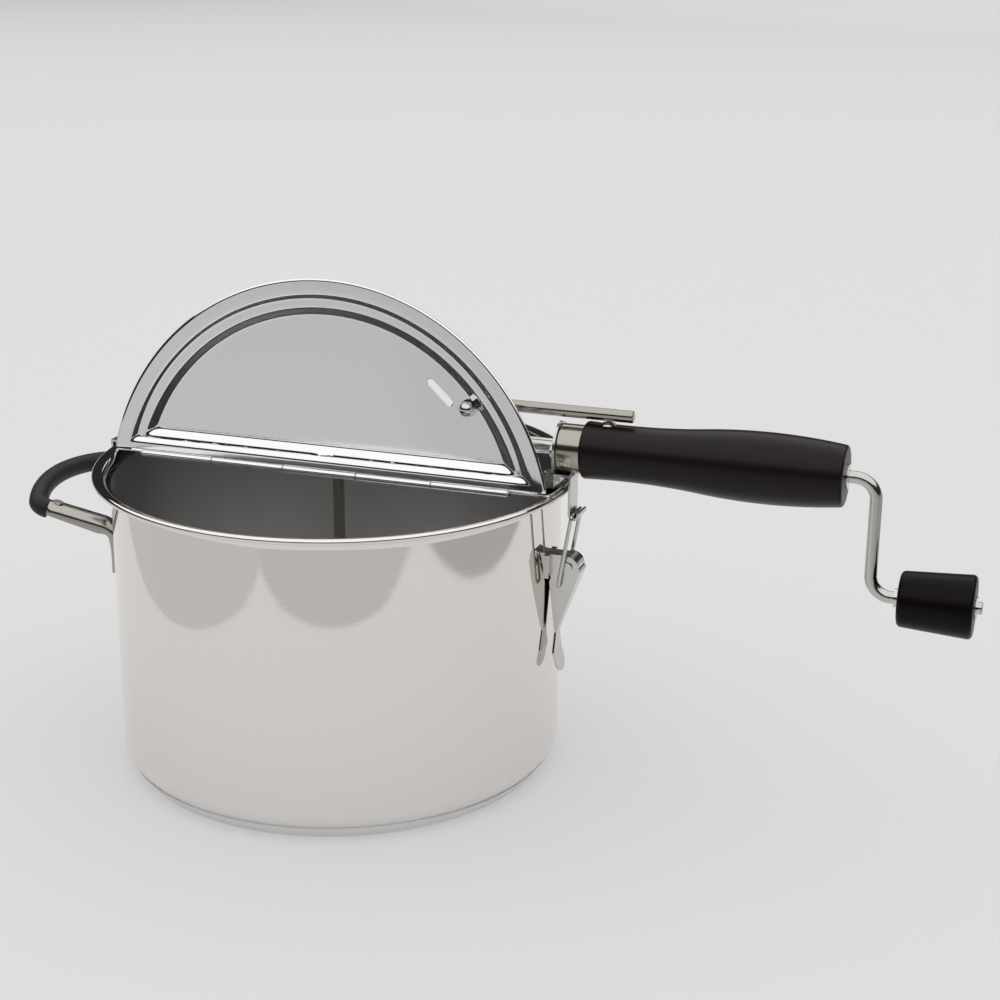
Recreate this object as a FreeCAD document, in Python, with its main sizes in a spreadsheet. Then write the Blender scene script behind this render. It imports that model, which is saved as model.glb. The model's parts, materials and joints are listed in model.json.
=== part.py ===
"""Stovetop popper: a lidded steel pot with a hand cranked stirrer.

The origin is the centre of the base, on the stove. +Z is up, +X runs along the
wooden handle and its crank, and the hinged flap of the lid is on the -Y side.
Lengths are millimetres and angles are degrees.
"""
import FreeCAD
import Part

import math
import os
import re

import Sketcher
from FreeCAD import Placement, Rotation, Vector

DOC = FreeCAD.newDocument("popper")

SIZES = (
    ("pot_radius", 115.0, "outside of the wall"),
    ("pot_wall", 0.8, "sheet thickness of the pot"),
    ("pot_height", 157.0, "top of the pouring lip"),
    ("floor_height", 4.0, "underside of the pot's floor"),
    ("corner_radius", 10.0, "outside radius between floor and wall"),
    ("flare_radius", 7.5, "curve from the wall out to the pouring lip"),
    ("bead_radius", 1.5, "rolled edge of the lip"),
    ("disc_inset", 6.4, "base disc inside the wall, where it stands on the stove"),
    ("disc_edge", 1.5, "rounded lower edge of the base disc"),
    ("disc_flare", 3.7, "how far the disc's side leans out"),
    ("seam_height", 6.8, "where the base disc ends on the pot's corner"),
    ("lid_inset", 3.8, "edge of the lid inside the lip's edge"),
    ("lid_shift", 1.6, "lid's centre from the pot's, towards the handle"),
    ("lid_sheet", 0.8, "sheet thickness of the lid"),
    ("lid_gap", 0.1, "lid above the lip"),
    ("rim_width", 7.7, "flat rim of the lid outside its first step"),
    ("ridge_rise", 1.5, "height of the first step"),
    ("ridge_width", 7.0, "lid's first step from foot to foot"),
    ("panel_rise", 2.5, "height of the second step"),
    ("step_slope", 2.2, "how far each step leans in"),
    ("hinge_offset", 22.8, "hinge line in front of the pot's centre"),
    ("hinge_edge", 2.1, "sheet edge from the hinge line"),
    ("knuckle_radius", 1.9, "outside of a rolled hinge knuckle"),
    ("hinge_pin_radius", 1.0, "hinge pin"),
    ("hinge_inset", 18.0, "end of the hinge from the lid's edge"),
    ("pin_head_length", 0.6, "peened ends of the hinge pin"),
    ("knuckle_gap", 0.3, "gap between two knuckles"),
    ("flap_open", 94.2, "opening angle at which the flap rests"),
    ("flap_ridge_inset", 6.0, "first step of the flap from the hinge line"),
    ("flap_panel_inset", 10.0, "second step of the flap from the hinge line"),
    ("rear_ridge_inset", 3.5, "first step of the rear lid from the hinge line"),
    ("rear_panel_inset", 6.0, "second step of the rear lid from the hinge line"),
    ("vent_length", 17.0, "steam slot in the flap"),
    ("vent_width", 4.0, "steam slot in the flap"),
    ("vent_inset", 13.0, "steam slot inside the flap's second step"),
    ("vent_turn", 48.0, "direction of the steam slot from the hinge line"),
    ("axis_rise", 20.0, "crank and handle axis above the lip"),
    ("rod_radius", 3.0, "crank rod, stirrer shaft and flap lever"),
    ("turn_fit", 0.06, "running clearance of a turning shaft"),
    ("side_fit", 0.25, "side clearance between moving pieces"),
    ("plate_reach", 5.9, "handle bracket's inner face outside the lid's first step"),
    ("plate_sheet", 1.3, "sheet thickness of the handle bracket"),
    ("plate_half", 13.0, "half width of the handle bracket"),
    ("foot_length", 10.8, "foot of the handle bracket on the lid"),
    ("ferrule_radius", 12.0, "steel collar at the handle's root"),
    ("ferrule_sheet", 0.8, "wall of the collar"),
    ("ferrule_length", 12.0, "length of the collar"),
    ("handle_root", 14.2, "wood radius at the collar"),
    ("handle_middle", 15.6, "wood radius where waist and belly meet"),
    ("handle_tip", 14.8, "wood radius at the crank end"),
    ("handle_length", 126.9, "length of the bare wood"),
    ("belly_start", 58.5, "end of the waist from the collar"),
    ("waist_curve", 360.0, "curve radius of the waist"),
    ("belly_curve", 285.0, "curve radius of the belly"),
    ("handle_round", 1.6, "rounded ends of the wood"),
    ("tenon_fit", 0.1, "wood inside the collar"),
    ("bore_room", 0.6, "bore of the wood around the crank rod"),
    ("tube_wall", 0.7, "wall of the crank tube"),
    ("button_reach", 11.3, "stop button from the collar"),
    ("button_radius", 4.0, "stop button"),
    ("button_rise", 1.6, "top of the stop button above the wood"),
    ("button_shank", 1.6, "screw under the stop button"),
    ("lever_overhang", 12.6, "free end of the flap lever beyond the stop button"),
    ("lever_inset", 28.5, "lever's hole in the flap inside the second step"),
    ("lever_bend", 7.0, "bend of the flap lever"),
    ("arm_room", 14.4, "crank arm beyond the end of the wood"),
    ("arm_drop", 57.0, "crank axis to knob axis"),
    ("crank_bend", 10.0, "bends of the crank rod"),
    ("knob_room", 14.0, "inner end of the knob beyond the crank arm"),
    ("knob_length", 35.0, "length of the knob"),
    ("knob_small", 13.4, "knob radius at its inner end"),
    ("knob_large", 15.2, "knob radius at its outer end"),
    ("knob_round", 2.2, "rounded edges of the knob"),
    ("tip_length", 3.4, "end of the crank rod beyond the knob"),
    ("gear_radius", 11.0, "pitch radius of both bevel gears"),
    ("gear_face", 4.5, "face width of the teeth"),
    ("gear_teeth", 16.0, "teeth of each bevel gear"),
    ("tooth_tip", 0.8, "tooth above the pitch cone"),
    ("tooth_root", 1.1, "tooth below the pitch cone"),
    ("tooth_share", 0.4, "tooth thickness as a share of the pitch"),
    ("hub_radius", 5.5, "hubs of the gears"),
    ("drive_hub_end", 17.0, "end of the drive gear's hub from the gear centre"),
    ("driven_hub_end", 12.95, "end of the driven gear's hub from the gear centre"),
    ("frame_inner", 17.8, "inner upright of the gear frame from the stirrer axis"),
    ("frame_outer", 22.8, "outer upright of the gear frame from the stirrer axis"),
    ("frame_sheet", 1.2, "sheet thickness of gear frame and cover"),
    ("frame_half", 12.6, "half width of the gear frame"),
    ("frame_rise", 13.0, "top of the gear frame above the crank axis"),
    ("bush_flange", 7.5, "flange radius of the stirrer bush"),
    ("bush_body", 5.0, "body radius of the stirrer bush"),
    ("bush_depth", 6.0, "stirrer bush below the lid"),
    ("bush_rim", 0.7, "flange thickness of the stirrer bush"),
    ("stirrer_gap", 1.2, "stirring wire above the floor"),
    ("wire_radius", 1.5, "stirring wire"),
    ("wire_room", 17.0, "tip of the stirring wire inside the wall, along its root"),
    ("wire_curve", 110.0, "curve radius of a stirring arm"),
    ("wire_root", 12.0, "straight part of the wire beside the shaft"),
    ("bracket_turn", 16.8, "direction of a side bracket from -X"),
    ("bracket_sheet", 2.0, "sheet thickness of the side brackets"),
    ("bracket_half", 6.5, "half width of the side brackets"),
    ("bracket_low", 96.0, "lower end of the side brackets"),
    ("bracket_bend", 114.0, "height where the side brackets leave the wall"),
    ("bracket_curve", 9.0, "inner bend of the side brackets"),
    ("arm_slope", 16.65, "rise of the side handle outwards"),
    ("arm_length", 28.5, "straight arm of a side bracket"),
    ("channel_depth", 3.6, "side walls of a bracket's channel at its end"),
    ("strap_rim", 1.3, "side walls of a bracket along the wall"),
    ("rim_sheet", 1.2, "sheet thickness of those side walls"),
    ("rim_reach", 9.2, "deepest part of those side walls outside the strap"),
    ("rim_drop", 5.0, "end of the side walls' bend below the strap's own bend"),
    ("rim_curve", 8.9, "bend of the side walls' edge"),
    ("rivet_low", 4.0, "lower wall rivet above the end of its bracket"),
    ("rivet_pitch", 8.0, "distance between the wall rivets of a bracket"),
    ("grip_rivet_inset", 4.0, "grip rivet from the end of its bracket"),
    ("grip_radius", 5.0, "sleeve of the side grip"),
    ("core_radius", 2.6, "steel rod inside the side grip"),
    ("grip_corner", 6.5, "tight bends of the side grip"),
    ("grip_sweep", 79.0, "gentle bend of the side grip"),
    ("core_inset", 12.0, "how far the rod runs into each bracket"),
    ("latch_reach", 10.3, "pivot of the latch lever outside the wall"),
    ("latch_drop", 40.2, "pivot of the latch lever below the lip"),
    ("latch_pin_radius", 1.5, "latch pivot"),
    ("base_half", 4.4, "half width of the latch base's channel"),
    ("latch_sheet", 1.0, "sheet thickness of the latch"),
    ("base_curve", 5.6, "curved hood of the latch base around the pivot"),
    ("base_plate", 1.3, "plate of the latch base on the wall"),
    ("base_plate_half", 7.6, "half width of that plate"),
    ("base_drop", 6.3, "lower end of that plate below the pivot"),
    ("cheek_half", 5.6, "half width of the latch lever"),
    ("cheek_head", 5.6, "round top of the lever's cheeks"),
    ("cheek_in", 9.2, "corner of the cheeks behind the pivot"),
    ("cheek_drop", 8.5, "corner of the cheeks below the pivot"),
    ("eye_back", 3.9, "bail eye behind the pivot"),
    ("eye_drop", 9.8, "bail eye below the pivot"),
    ("bail_wire", 1.0, "radius of the bail's wire"),
    ("bail_half", 8.1, "half width of the bail, to its wire's centre"),
    ("bail_bend", 2.2, "bends at the bail's top"),
    ("bail_foot_bend", 1.5, "bends at the bail's eyes"),
    ("bail_height", 37.5, "bail's top bar above its eye"),
    ("bail_room", 0.4, "bail's top bar in front of the strap"),
    ("hook_room", 1.75, "inside radius of the catch hook"),
    ("strap_sheet", 1.2, "sheet thickness of the catch strap"),
    ("strap_half", 6.4, "half width of the catch strap"),
    ("strap_room", 1.2, "catch strap outside the lip"),
    ("spoon_half", 6.4, "half width of the lever's finger end"),
    ("spoon_round", 6.0, "rounded corners of the finger end"),
    ("web_out", 6.6, "top of the lever's back in front of the pivot"),
    ("web_drop", 2.0, "top of the lever's back below the pivot"),
    ("neck_half", 3.2, "half width of the lever's neck"),
    ("neck_in", 5.8, "lever's neck behind the pivot"),
    ("neck_drop", 36.3, "lever's neck below the pivot"),
    ("spoon_waist", 10.0, "straight part of the finger end below the neck"),
    ("spoon_out", 2.9, "tip of the lever in front of its neck"),
    ("spoon_drop", 57.1, "tip of the lever below the pivot"),
    ("hook_half", 11.0, "half width of the lid hook"),
    ("hook_sheet", 1.2, "sheet thickness of the lid hook"),
    ("hook_side", 0.6, "lid hook in front of the lip"),
    ("hook_under", 0.5, "lid hook below the lip's bead"),
    ("rivet_head", 2.6, "rivet heads"),
    ("rivet_rise", 0.9, "height of a rivet head"),
    ("nut_corner", 4.3, "hexagon corners of the lever's nuts"),
    ("screw_radius", 1.6, "screw shanks"),
    ("screw_head", 3.1, "screw heads"),
    ("screw_rise", 1.5, "height of a screw head"),
)

PLACES = (
    ("wall_inner", "pot_radius - pot_wall"),
    ("floor_top", "floor_height + pot_wall"),
    ("corner_height", "floor_height + corner_radius"),
    ("lip_radius", "pot_radius + flare_radius + bead_radius"),
    ("disc_radius", "pot_radius - disc_inset"),
    ("lip_start", "pot_height - flare_radius - pot_wall"),
    ("bead_height", "pot_height - bead_radius"),
    ("bead_meet", "lip_start + sqrt(flare_radius ^ 2 - bead_radius ^ 2)"),
    ("seam_radius",
     "pot_radius - corner_radius + sqrt(corner_radius ^ 2 - (corner_height - seam_height) ^ 2)"),
    ("lid_radius", "lip_radius - lid_inset"),
    ("ridge_radius", "lid_radius - rim_width"),
    ("panel_radius", "ridge_radius - ridge_width"),
    ("hinge_half", "sqrt(lid_radius ^ 2 - hinge_offset ^ 2) - hinge_inset"),
    ("knuckle_length", "hinge_half * 2 / 5"),
    ("vent_reach", "panel_radius - vent_inset"),
    ("lever_foot", "panel_radius - lever_inset"),
    ("axis_height", "pot_height + axis_rise"),
    ("frame_top", "axis_height + frame_rise"),
    ("lid_low", "pot_height + lid_gap"),
    ("lid_high", "lid_low + lid_sheet"),
    ("hinge_height", "lid_low + lid_sheet / 2"),
    ("ridge_top", "lid_high + ridge_rise"),
    ("panel_top", "ridge_top + panel_rise"),
    ("plate_inner", "ridge_radius + plate_reach"),
    ("plate_outer", "plate_inner + plate_sheet"),
    ("collar_end", "plate_outer + ferrule_length"),
    ("wood_end", "collar_end + handle_length"),
    ("arm_reach", "wood_end + arm_room"),
    ("knob_start", "arm_reach + knob_room"),
    ("button_x", "collar_end + button_reach"),
    ("lever_end", "button_x + lever_overhang"),
    ("button_seat", "axis_height + handle_root - 0.5"),
    ("button_top", "button_seat + button_rise"),
    ("lever_height", "button_top + rod_radius + side_fit"),
    ("lever_up", "lever_height - hinge_height"),
    ("lever_ahead", "lever_up * sin(flap_open) - hinge_offset * cos(flap_open)"),
    ("lever_above", "hinge_offset * sin(flap_open) + lever_up * cos(flap_open)"),
    ("lever_closed_y", "0 - hinge_offset - lever_ahead"),
    ("lever_closed_z", "hinge_height + lever_above"),
    ("knob_height", "axis_height - arm_drop"),
    ("knob_end", "knob_start + knob_length"),
    ("crank_tip", "knob_end + tip_length"),
    ("wire_reach", "pot_radius - wire_room"),
    ("wire_height", "floor_top + stirrer_gap + wire_radius"),
    ("wire_angle", "asin((wire_reach - wire_root) / wire_curve)"),
    ("latch_x", "pot_radius + latch_reach"),
    ("latch_height", "pot_height - latch_drop"),
    ("base_low", "latch_height - base_drop"),
    ("eye_x", "latch_x - eye_back"),
    ("eye_height", "latch_height - eye_drop"),
    ("strap_face", "lip_radius + strap_room + strap_sheet"),
    ("bail_lean", "strap_face + bail_room + bail_wire - eye_x"),
    ("bail_top_height", "eye_height + bail_height"),
    ("hook_centre_x", "strap_face + hook_room"),
    ("hook_centre_height", "bail_top_height + bail_room / 2"),
    ("strap_top", "axis_height - ferrule_radius - side_fit"),
    ("base_face", "pot_radius + base_plate"),
    ("web_angle", "atan((web_out + neck_in) / (neck_drop - web_drop))"),
    ("bush_top", "panel_top + frame_sheet + bush_rim"),
    ("tube_bore", "rod_radius + 2 * turn_fit"),
    ("bracket_face", "pot_radius + side_fit"),
    ("bend_centre", "bracket_face + bracket_sheet + bracket_curve"),
    ("core_reach", "bend_centre - (bracket_curve - core_radius) * sin(arm_slope)"),
    ("core_height", "bracket_bend + (bracket_curve - core_radius) * cos(arm_slope)"),
    ("grip_slope", "atan(tan(arm_slope) / cos(bracket_turn))"),
    ("grip_along", "sqrt((cos(bracket_turn) * cos(arm_slope)) ^ 2 + sin(arm_slope) ^ 2)"),
    ("grip_aside", "sin(bracket_turn) * cos(arm_slope)"),
    ("core_aside", "core_reach * sin(bracket_turn)"),
    ("bend_from", "arm_length + 0.6"),
    ("corner_out", "grip_along * bend_from + grip_corner * grip_aside"),
    ("corner_aside", "core_aside + grip_aside * bend_from - grip_corner * grip_along"),
    ("sweep_centre", "corner_out - sqrt((grip_sweep - grip_corner) ^ 2 - corner_aside ^ 2)"),
    ("meet_out",
     "sweep_centre + grip_sweep * (corner_out - sweep_centre) / (grip_sweep - grip_corner)"),
    ("meet_aside", "grip_sweep * corner_aside / (grip_sweep - grip_corner)"),
    ("bail_length", "sqrt(bail_lean ^ 2 + bail_height ^ 2)"),
    ("collar_start", "drive_hub_end + 1.2"),
)


def fill_sheets():
    """Write the sizes and the places that follow from them; return alias to sheet."""
    owner = {}
    sizes = DOC.addObject("Spreadsheet::Sheet", "Sizes")
    for row, (alias, value, note) in enumerate(SIZES, 1):
        sizes.set("A%d" % row, note)
        sizes.set("B%d" % row, str(value))
        sizes.setAlias("B%d" % row, alias)
        owner[alias] = "Sizes"
    DOC.recompute()
    places = DOC.addObject("Spreadsheet::Sheet", "Places")
    for row, (alias, text) in enumerate(PLACES, 1):
        places.set("B%d" % row, "=" + re.sub(
            r"\b[a-z]+(?:_[a-z]+)+\b",
            lambda word: ("Sizes." if word.group() in owner and owner[word.group()] == "Sizes"
                          else "") + word.group(), text))
        places.setAlias("B%d" % row, alias)
        owner[alias] = "Places"
    DOC.recompute()
    return owner


OWNER = fill_sheets()


def formula(text):
    """A formula in aliases, with each alias led by its sheet."""
    return re.sub(r"\b[a-z]+(?:_[a-z]+)+\b", lambda word: OWNER[word.group()] + "." + word.group(), text)


def value(text):
    """The number that a formula gives now."""
    found = DOC.Sizes.evalExpression(formula(text))
    return float(getattr(found, "Value", found))


def bind(thing, **formulas):
    """Bind properties of an object to formulas."""
    for name, text in formulas.items():
        thing.setExpression(name, formula(text))


def place(thing, x="0", y="0", z="0"):
    """Bind an object's position to formulas."""
    for axis, text in zip("xyz", (x, y, z)):
        thing.setExpression(".Placement.Base." + axis, formula(text))


def turn(thing, axis, angle):
    """Bind an object's rotation about a fixed direction to a formula."""
    thing.Placement = Placement(thing.Placement.Base, Rotation(Vector(*axis), value(angle)))
    thing.setExpression(".Placement.Rotation.Angle", formula(angle))


def new_body(label):
    """An empty body that becomes one sub-part."""
    body = DOC.addObject("PartDesign::Body", label)
    body.Label = label
    return body


def arc_between(start, end, radius, side):
    """The shorter arc from start to end; side is 1 when it turns left."""
    chord = end - start
    half = chord.Length / 2
    lift = math.sqrt(max(radius * radius - half * half, 0.0))
    across = Vector(-chord.y, chord.x, 0).normalize()
    centre = (start + end) / 2 + across * lift * side
    first = math.atan2(start.y - centre.y, start.x - centre.x)
    last = math.atan2(end.y - centre.y, end.x - centre.x)
    circle = Part.Circle(centre, Vector(0, 0, 1), radius)
    return Part.ArcOfCircle(circle, first, last) if side > 0 else Part.ArcOfCircle(circle, last, first)


def origin_part(body, role):
    """One of the body's own origin planes or axes."""
    return [part for part in body.Origin.OriginFeatures if part.Role == role][0]


def sketch_on(body, plane, lift="0"):
    """A sketch attached to one of the body's own origin planes, raised by lift."""
    drawing = body.newObject("Sketcher::SketchObject", body.Label + "_sketch")
    drawing.AttachmentSupport = [(origin_part(body, plane), "")]
    drawing.MapMode = "FlatFace"
    drawing.setExpression(".AttachmentOffset.Base.z", formula(lift))
    return drawing


def pin_point(drawing, element, end, x, y):
    """Hold one end of a sketch element at two formulas."""
    for kind, text in (("DistanceX", x), ("DistanceY", y)):
        index = drawing.addConstraint(Sketcher.Constraint(kind, element, end, value(text)))
        drawing.setExpression("Constraints[%d]" % index, formula(text))


def outline(drawing, points, closed=True):
    """Draw straight and round stretches through points.

    A point is (x, y), or (x, y, radius, side) when a round stretch leads to it.
    """
    spots = [Vector(value(point[0]), value(point[1]), 0) for point in points]
    legs = [(i, i + 1) for i in range(len(points) - 1)]
    if closed:
        legs.append((len(points) - 1, 0))
    made = []
    for start, end in legs:
        bend = points[end][2:]
        if bend:
            shape = arc_between(spots[start], spots[end], value(bend[0]), bend[1])
            index = drawing.addGeometry(shape, False)
            ends = (1, 2) if bend[1] > 0 else (2, 1)
            hold = drawing.addConstraint(Sketcher.Constraint("Radius", index, value(bend[0])))
            drawing.setExpression("Constraints[%d]" % hold, formula(bend[0]))
        else:
            index = drawing.addGeometry(Part.LineSegment(spots[start], spots[end]), False)
            ends = (1, 2)
        pin_point(drawing, index, ends[0], points[start][0], points[start][1])
        made.append((index, ends))
    for (before, before_ends), (after, after_ends) in zip(made, made[1:] + made[:1]):
        if closed or (before, before_ends) != made[-1]:
            drawing.addConstraint(Sketcher.Constraint(
                "Coincident", before, before_ends[1], after, after_ends[0]))
    if not closed:
        pin_point(drawing, made[-1][0], made[-1][1][1], points[-1][0], points[-1][1])
    return drawing


def ring(drawing, x, y, radius):
    """Draw a full circle."""
    centre = Vector(value(x), value(y), 0)
    index = drawing.addGeometry(Part.Circle(centre, Vector(0, 0, 1), value(radius)), False)
    pin_point(drawing, index, 3, x, y)
    hold = drawing.addConstraint(Sketcher.Constraint("Radius", index, value(radius)))
    drawing.setExpression("Constraints[%d]" % hold, formula(radius))
    return drawing


def revolve(body, drawing, axis="V_Axis"):
    """Turn a drawing once round one of its own axes."""
    made = body.newObject("PartDesign::Revolution", body.Label + "_turned")
    made.Profile = drawing
    made.ReferenceAxis = (drawing, [axis])
    made.Angle = 360
    return made


def pad(body, drawing, length, both_ways=False, backwards=False):
    """Thicken a drawing."""
    made = body.newObject("PartDesign::Pad", body.Label + "_pad")
    made.Profile = drawing
    made.Midplane = both_ways
    made.Reversed = backwards
    bind(made, Length=length)
    return made


def cut(body, drawing, length, both_ways=False, backwards=False):
    """Cut a drawing out of the body."""
    made = body.newObject("PartDesign::Pocket", body.Label + "_cut")
    made.Profile = drawing
    made.Midplane = both_ways
    made.Reversed = backwards
    bind(made, Length=length)
    return made


def rod(body, section, path):
    """Carry a round section along a path."""
    made = body.newObject("PartDesign::AdditivePipe", body.Label + "_rod")
    made.Profile = section
    made.Spine = path
    return made


def lift_between(body, low, high, take_away=False):
    """A ruled block, or hollow, between two drawings."""
    kind = "PartDesign::SubtractiveLoft" if take_away else "PartDesign::AdditiveLoft"
    made = body.newObject(kind, body.Label + "_step")
    made.Profile = low
    made.Sections = [high]
    made.Ruled = True
    return made


def barrel(name, radius, height, x="0", y="0", z="0", axis=None):
    """A plain cylinder that starts at a point and runs along an axis."""
    made = DOC.addObject("Part::Cylinder", name)
    bind(made, Radius=radius, Height=height)
    if axis:
        made.Placement = Placement(Vector(), Rotation(Vector(0, 0, 1), Vector(*axis)))
    place(made, x, y, z)
    return made


def mirrored(body, feature):
    """Repeat a feature on the other side of the body's XZ plane."""
    made = body.newObject("PartDesign::Mirrored", body.Label + "_mirrored")
    made.Originals = [feature]
    made.MirrorPlane = (origin_part(body, "XZ_Plane"), [""])
    body.Tip = made
    return made


def joined(label, pieces):
    """One solid made of several."""
    made = DOC.addObject("Part::MultiFuse", label)
    made.Shapes = pieces
    made.Refine = True
    made.Label = label
    return made


def group(label, pieces):
    """Separate solids that share one node."""
    made = DOC.addObject("Part::Compound", label)
    made.Links = pieces
    made.Label = label
    return made


def less(label, base, tools):
    """A solid with others cut out of it."""
    tool = tools[0] if len(tools) == 1 else joined(label + "_tools", tools)
    made = DOC.addObject("Part::Cut", label)
    made.Base = base
    made.Tool = tool
    made.Label = label
    return made


def make_pot_body():
    """The drawn pot: floor, rounded corner, wall and flared lip with a rolled edge."""
    body = new_body("pot_body")
    drawing = outline(sketch_on(body, "XZ_Plane"), [
        ("0", "floor_height"),
        ("pot_radius - corner_radius", "floor_height"),
        ("pot_radius", "corner_height", "corner_radius", 1),
        ("pot_radius", "lip_start"),
        ("lip_radius - 2 * bead_radius", "bead_meet", "flare_radius", -1),
        ("lip_radius - 2 * bead_radius", "bead_height"),
        ("lip_radius - bead_radius", "bead_height - bead_radius", "bead_radius", 1),
        ("lip_radius", "bead_height", "bead_radius", 1),
        ("lip_radius - bead_radius", "pot_height", "bead_radius", 1),
        ("wall_inner", "lip_start", "flare_radius + pot_wall", 1),
        ("wall_inner", "corner_height"),
        ("pot_radius - corner_radius", "floor_top", "corner_radius - pot_wall", -1),
        ("0", "floor_top"),
    ])
    revolve(body, drawing)
    return body


def make_base_disc():
    """The heat spreading disc, whose edge follows the pot's rounded corner."""
    body = new_body("base_disc")
    drawing = outline(sketch_on(body, "XZ_Plane"), [
        ("0", "0"),
        ("disc_radius - disc_edge", "0"),
        ("disc_radius", "disc_edge", "disc_edge", 1),
        ("disc_radius + disc_flare", "seam_height - 0.6"),
        ("seam_radius", "seam_height"),
        ("pot_radius - corner_radius", "floor_height", "corner_radius", -1),
        ("0", "floor_height"),
    ])
    revolve(body, drawing)
    return body


def side_bracket(label, side):
    """A strap on the wall that bends out into a channel for the grip's rod.

    It is drawn in the plane of its own direction and then turned about Z.
    """
    body = new_body(label)
    outer = "(bracket_curve + bracket_sheet)"
    slant = " - arm_length * cos(arm_slope)"
    climb = " + arm_length * sin(arm_slope)"
    top = ("%s * sin(arm_slope) - bend_centre" % outer, "bracket_bend + %s * cos(arm_slope)" % outer)
    low = ("bracket_curve * sin(arm_slope) - bend_centre", "bracket_bend + bracket_curve * cos(arm_slope)")
    strap = outline(sketch_on(body, "XZ_Plane"), [
        ("0 - bracket_face", "bracket_low"),
        ("0 - bracket_face", "bracket_bend"),
        top + (outer, 1),
        (top[0] + slant, top[1] + climb),
        (low[0] + slant, low[1] + climb),
        low,
        ("0 - bracket_face - bracket_sheet", "bracket_bend", "bracket_curve", -1),
        ("0 - bracket_face - bracket_sheet", "bracket_low"),
    ])
    pad(body, strap, "2 * bracket_half", both_ways=True)
    face = "0 - bracket_face - bracket_sheet"
    for lift in ("bracket_half", "rim_sheet - bracket_half"):
        wall = outline(sketch_on(body, "XZ_Plane", lift), [
            (face, "bracket_low"),
            (face, "bracket_bend"),
            low + ("bracket_curve", 1),
            (low[0] + slant, low[1] + climb),
            (low[0] + slant + " + channel_depth * sin(arm_slope)",
             low[1] + climb + " - channel_depth * cos(arm_slope)"),
            (face + " - rim_reach", "bracket_bend + rim_reach - rim_drop"),
            (face + " - strap_rim", "bracket_bend - rim_drop", "rim_curve", -1),
            (face + " - strap_rim", "bracket_low"),
        ])
        pad(body, wall, "rim_sheet", backwards=True)
    turn(body, (0, 0, 1), "bracket_turn * %d" % side)
    return body


def grip_path(drawing, last):
    """Half of the side handle's line in its own sloping plane, from its middle."""
    return outline(drawing, [
        ("sweep_centre + grip_sweep", "0"),
        ("meet_out", "0 - meet_aside", "grip_sweep", -1),
        ("grip_along * bend_from", "0 - core_aside - grip_aside * bend_from", "grip_corner", -1),
        ("grip_along * (%s)" % last, "0 - core_aside - grip_aside * (%s)" % last),
    ], closed=False)


def grip_piece(label, radii, last):
    """A round piece that follows the side handle's line, mirrored to the other side."""
    body = new_body(label)
    path = grip_path(sketch_on(body, "XY_Plane"), last)
    section = sketch_on(body, "XZ_Plane")
    for radius in radii:
        ring(section, "sweep_centre + grip_sweep", "0", radius)
    mirrored(body, rod(body, section, path))
    tilt(body)
    return body


def tilt(body):
    """Put a piece drawn with +X outwards on the side handle's sloping plane."""
    outwards = Rotation(Vector(0, 0, 1), 180)
    slope = Rotation(Vector(0, 1, 0), value("grip_slope"))
    body.Placement = Placement(Vector(), slope.multiply(outwards))
    place(body, "0 - core_reach * cos(bracket_turn)", "0", "core_height")


def side_rivets(label, spots, slanted):
    """Rivets of both side brackets: each spot is (reach, height) in a bracket's plane."""
    made = []
    for side in (1, -1):
        heads = []
        for number, (reach, height) in enumerate(spots):
            name = "%s_%d_%d" % (label, number, side + 1)
            axis = (math.sin(math.radians(value("arm_slope"))), 0,
                    math.cos(math.radians(value("arm_slope")))) if slanted else (-1, 0, 0)
            heads.append(barrel(name, "rivet_head", "rivet_rise", "0 - (%s)" % reach, "0", height, axis))
        pair = group("%s_side_%d" % (label, side + 1), heads)
        turn(pair, (0, 0, 1), "bracket_turn * %d" % side)
        made.append(pair)
    return group(label, made)


def d_shape(body, height, radius, inset, front):
    """The outline of half a lid: an arc closed by a line parallel to the hinge."""
    if front:
        line = "hinge_offset + " + inset
        across = "sqrt((%s) ^ 2 - (%s) ^ 2)" % (radius, line)
        return outline(sketch_on(body, "XY_Plane", height), [
            ("lid_shift - " + across, "0 - (%s)" % line, radius, -1),
            ("lid_shift + " + across, "0 - (%s)" % line),
        ])
    line = "hinge_offset - (%s)" % inset
    across = "sqrt((%s) ^ 2 - (%s) ^ 2)" % (radius, line)
    return outline(sketch_on(body, "XY_Plane", height), [
        ("lid_shift - " + across, "0 - (%s)" % line, radius, 1),
        ("lid_shift + " + across, "0 - (%s)" % line),
        ("lid_shift", radius, radius, 1),
    ])


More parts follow.
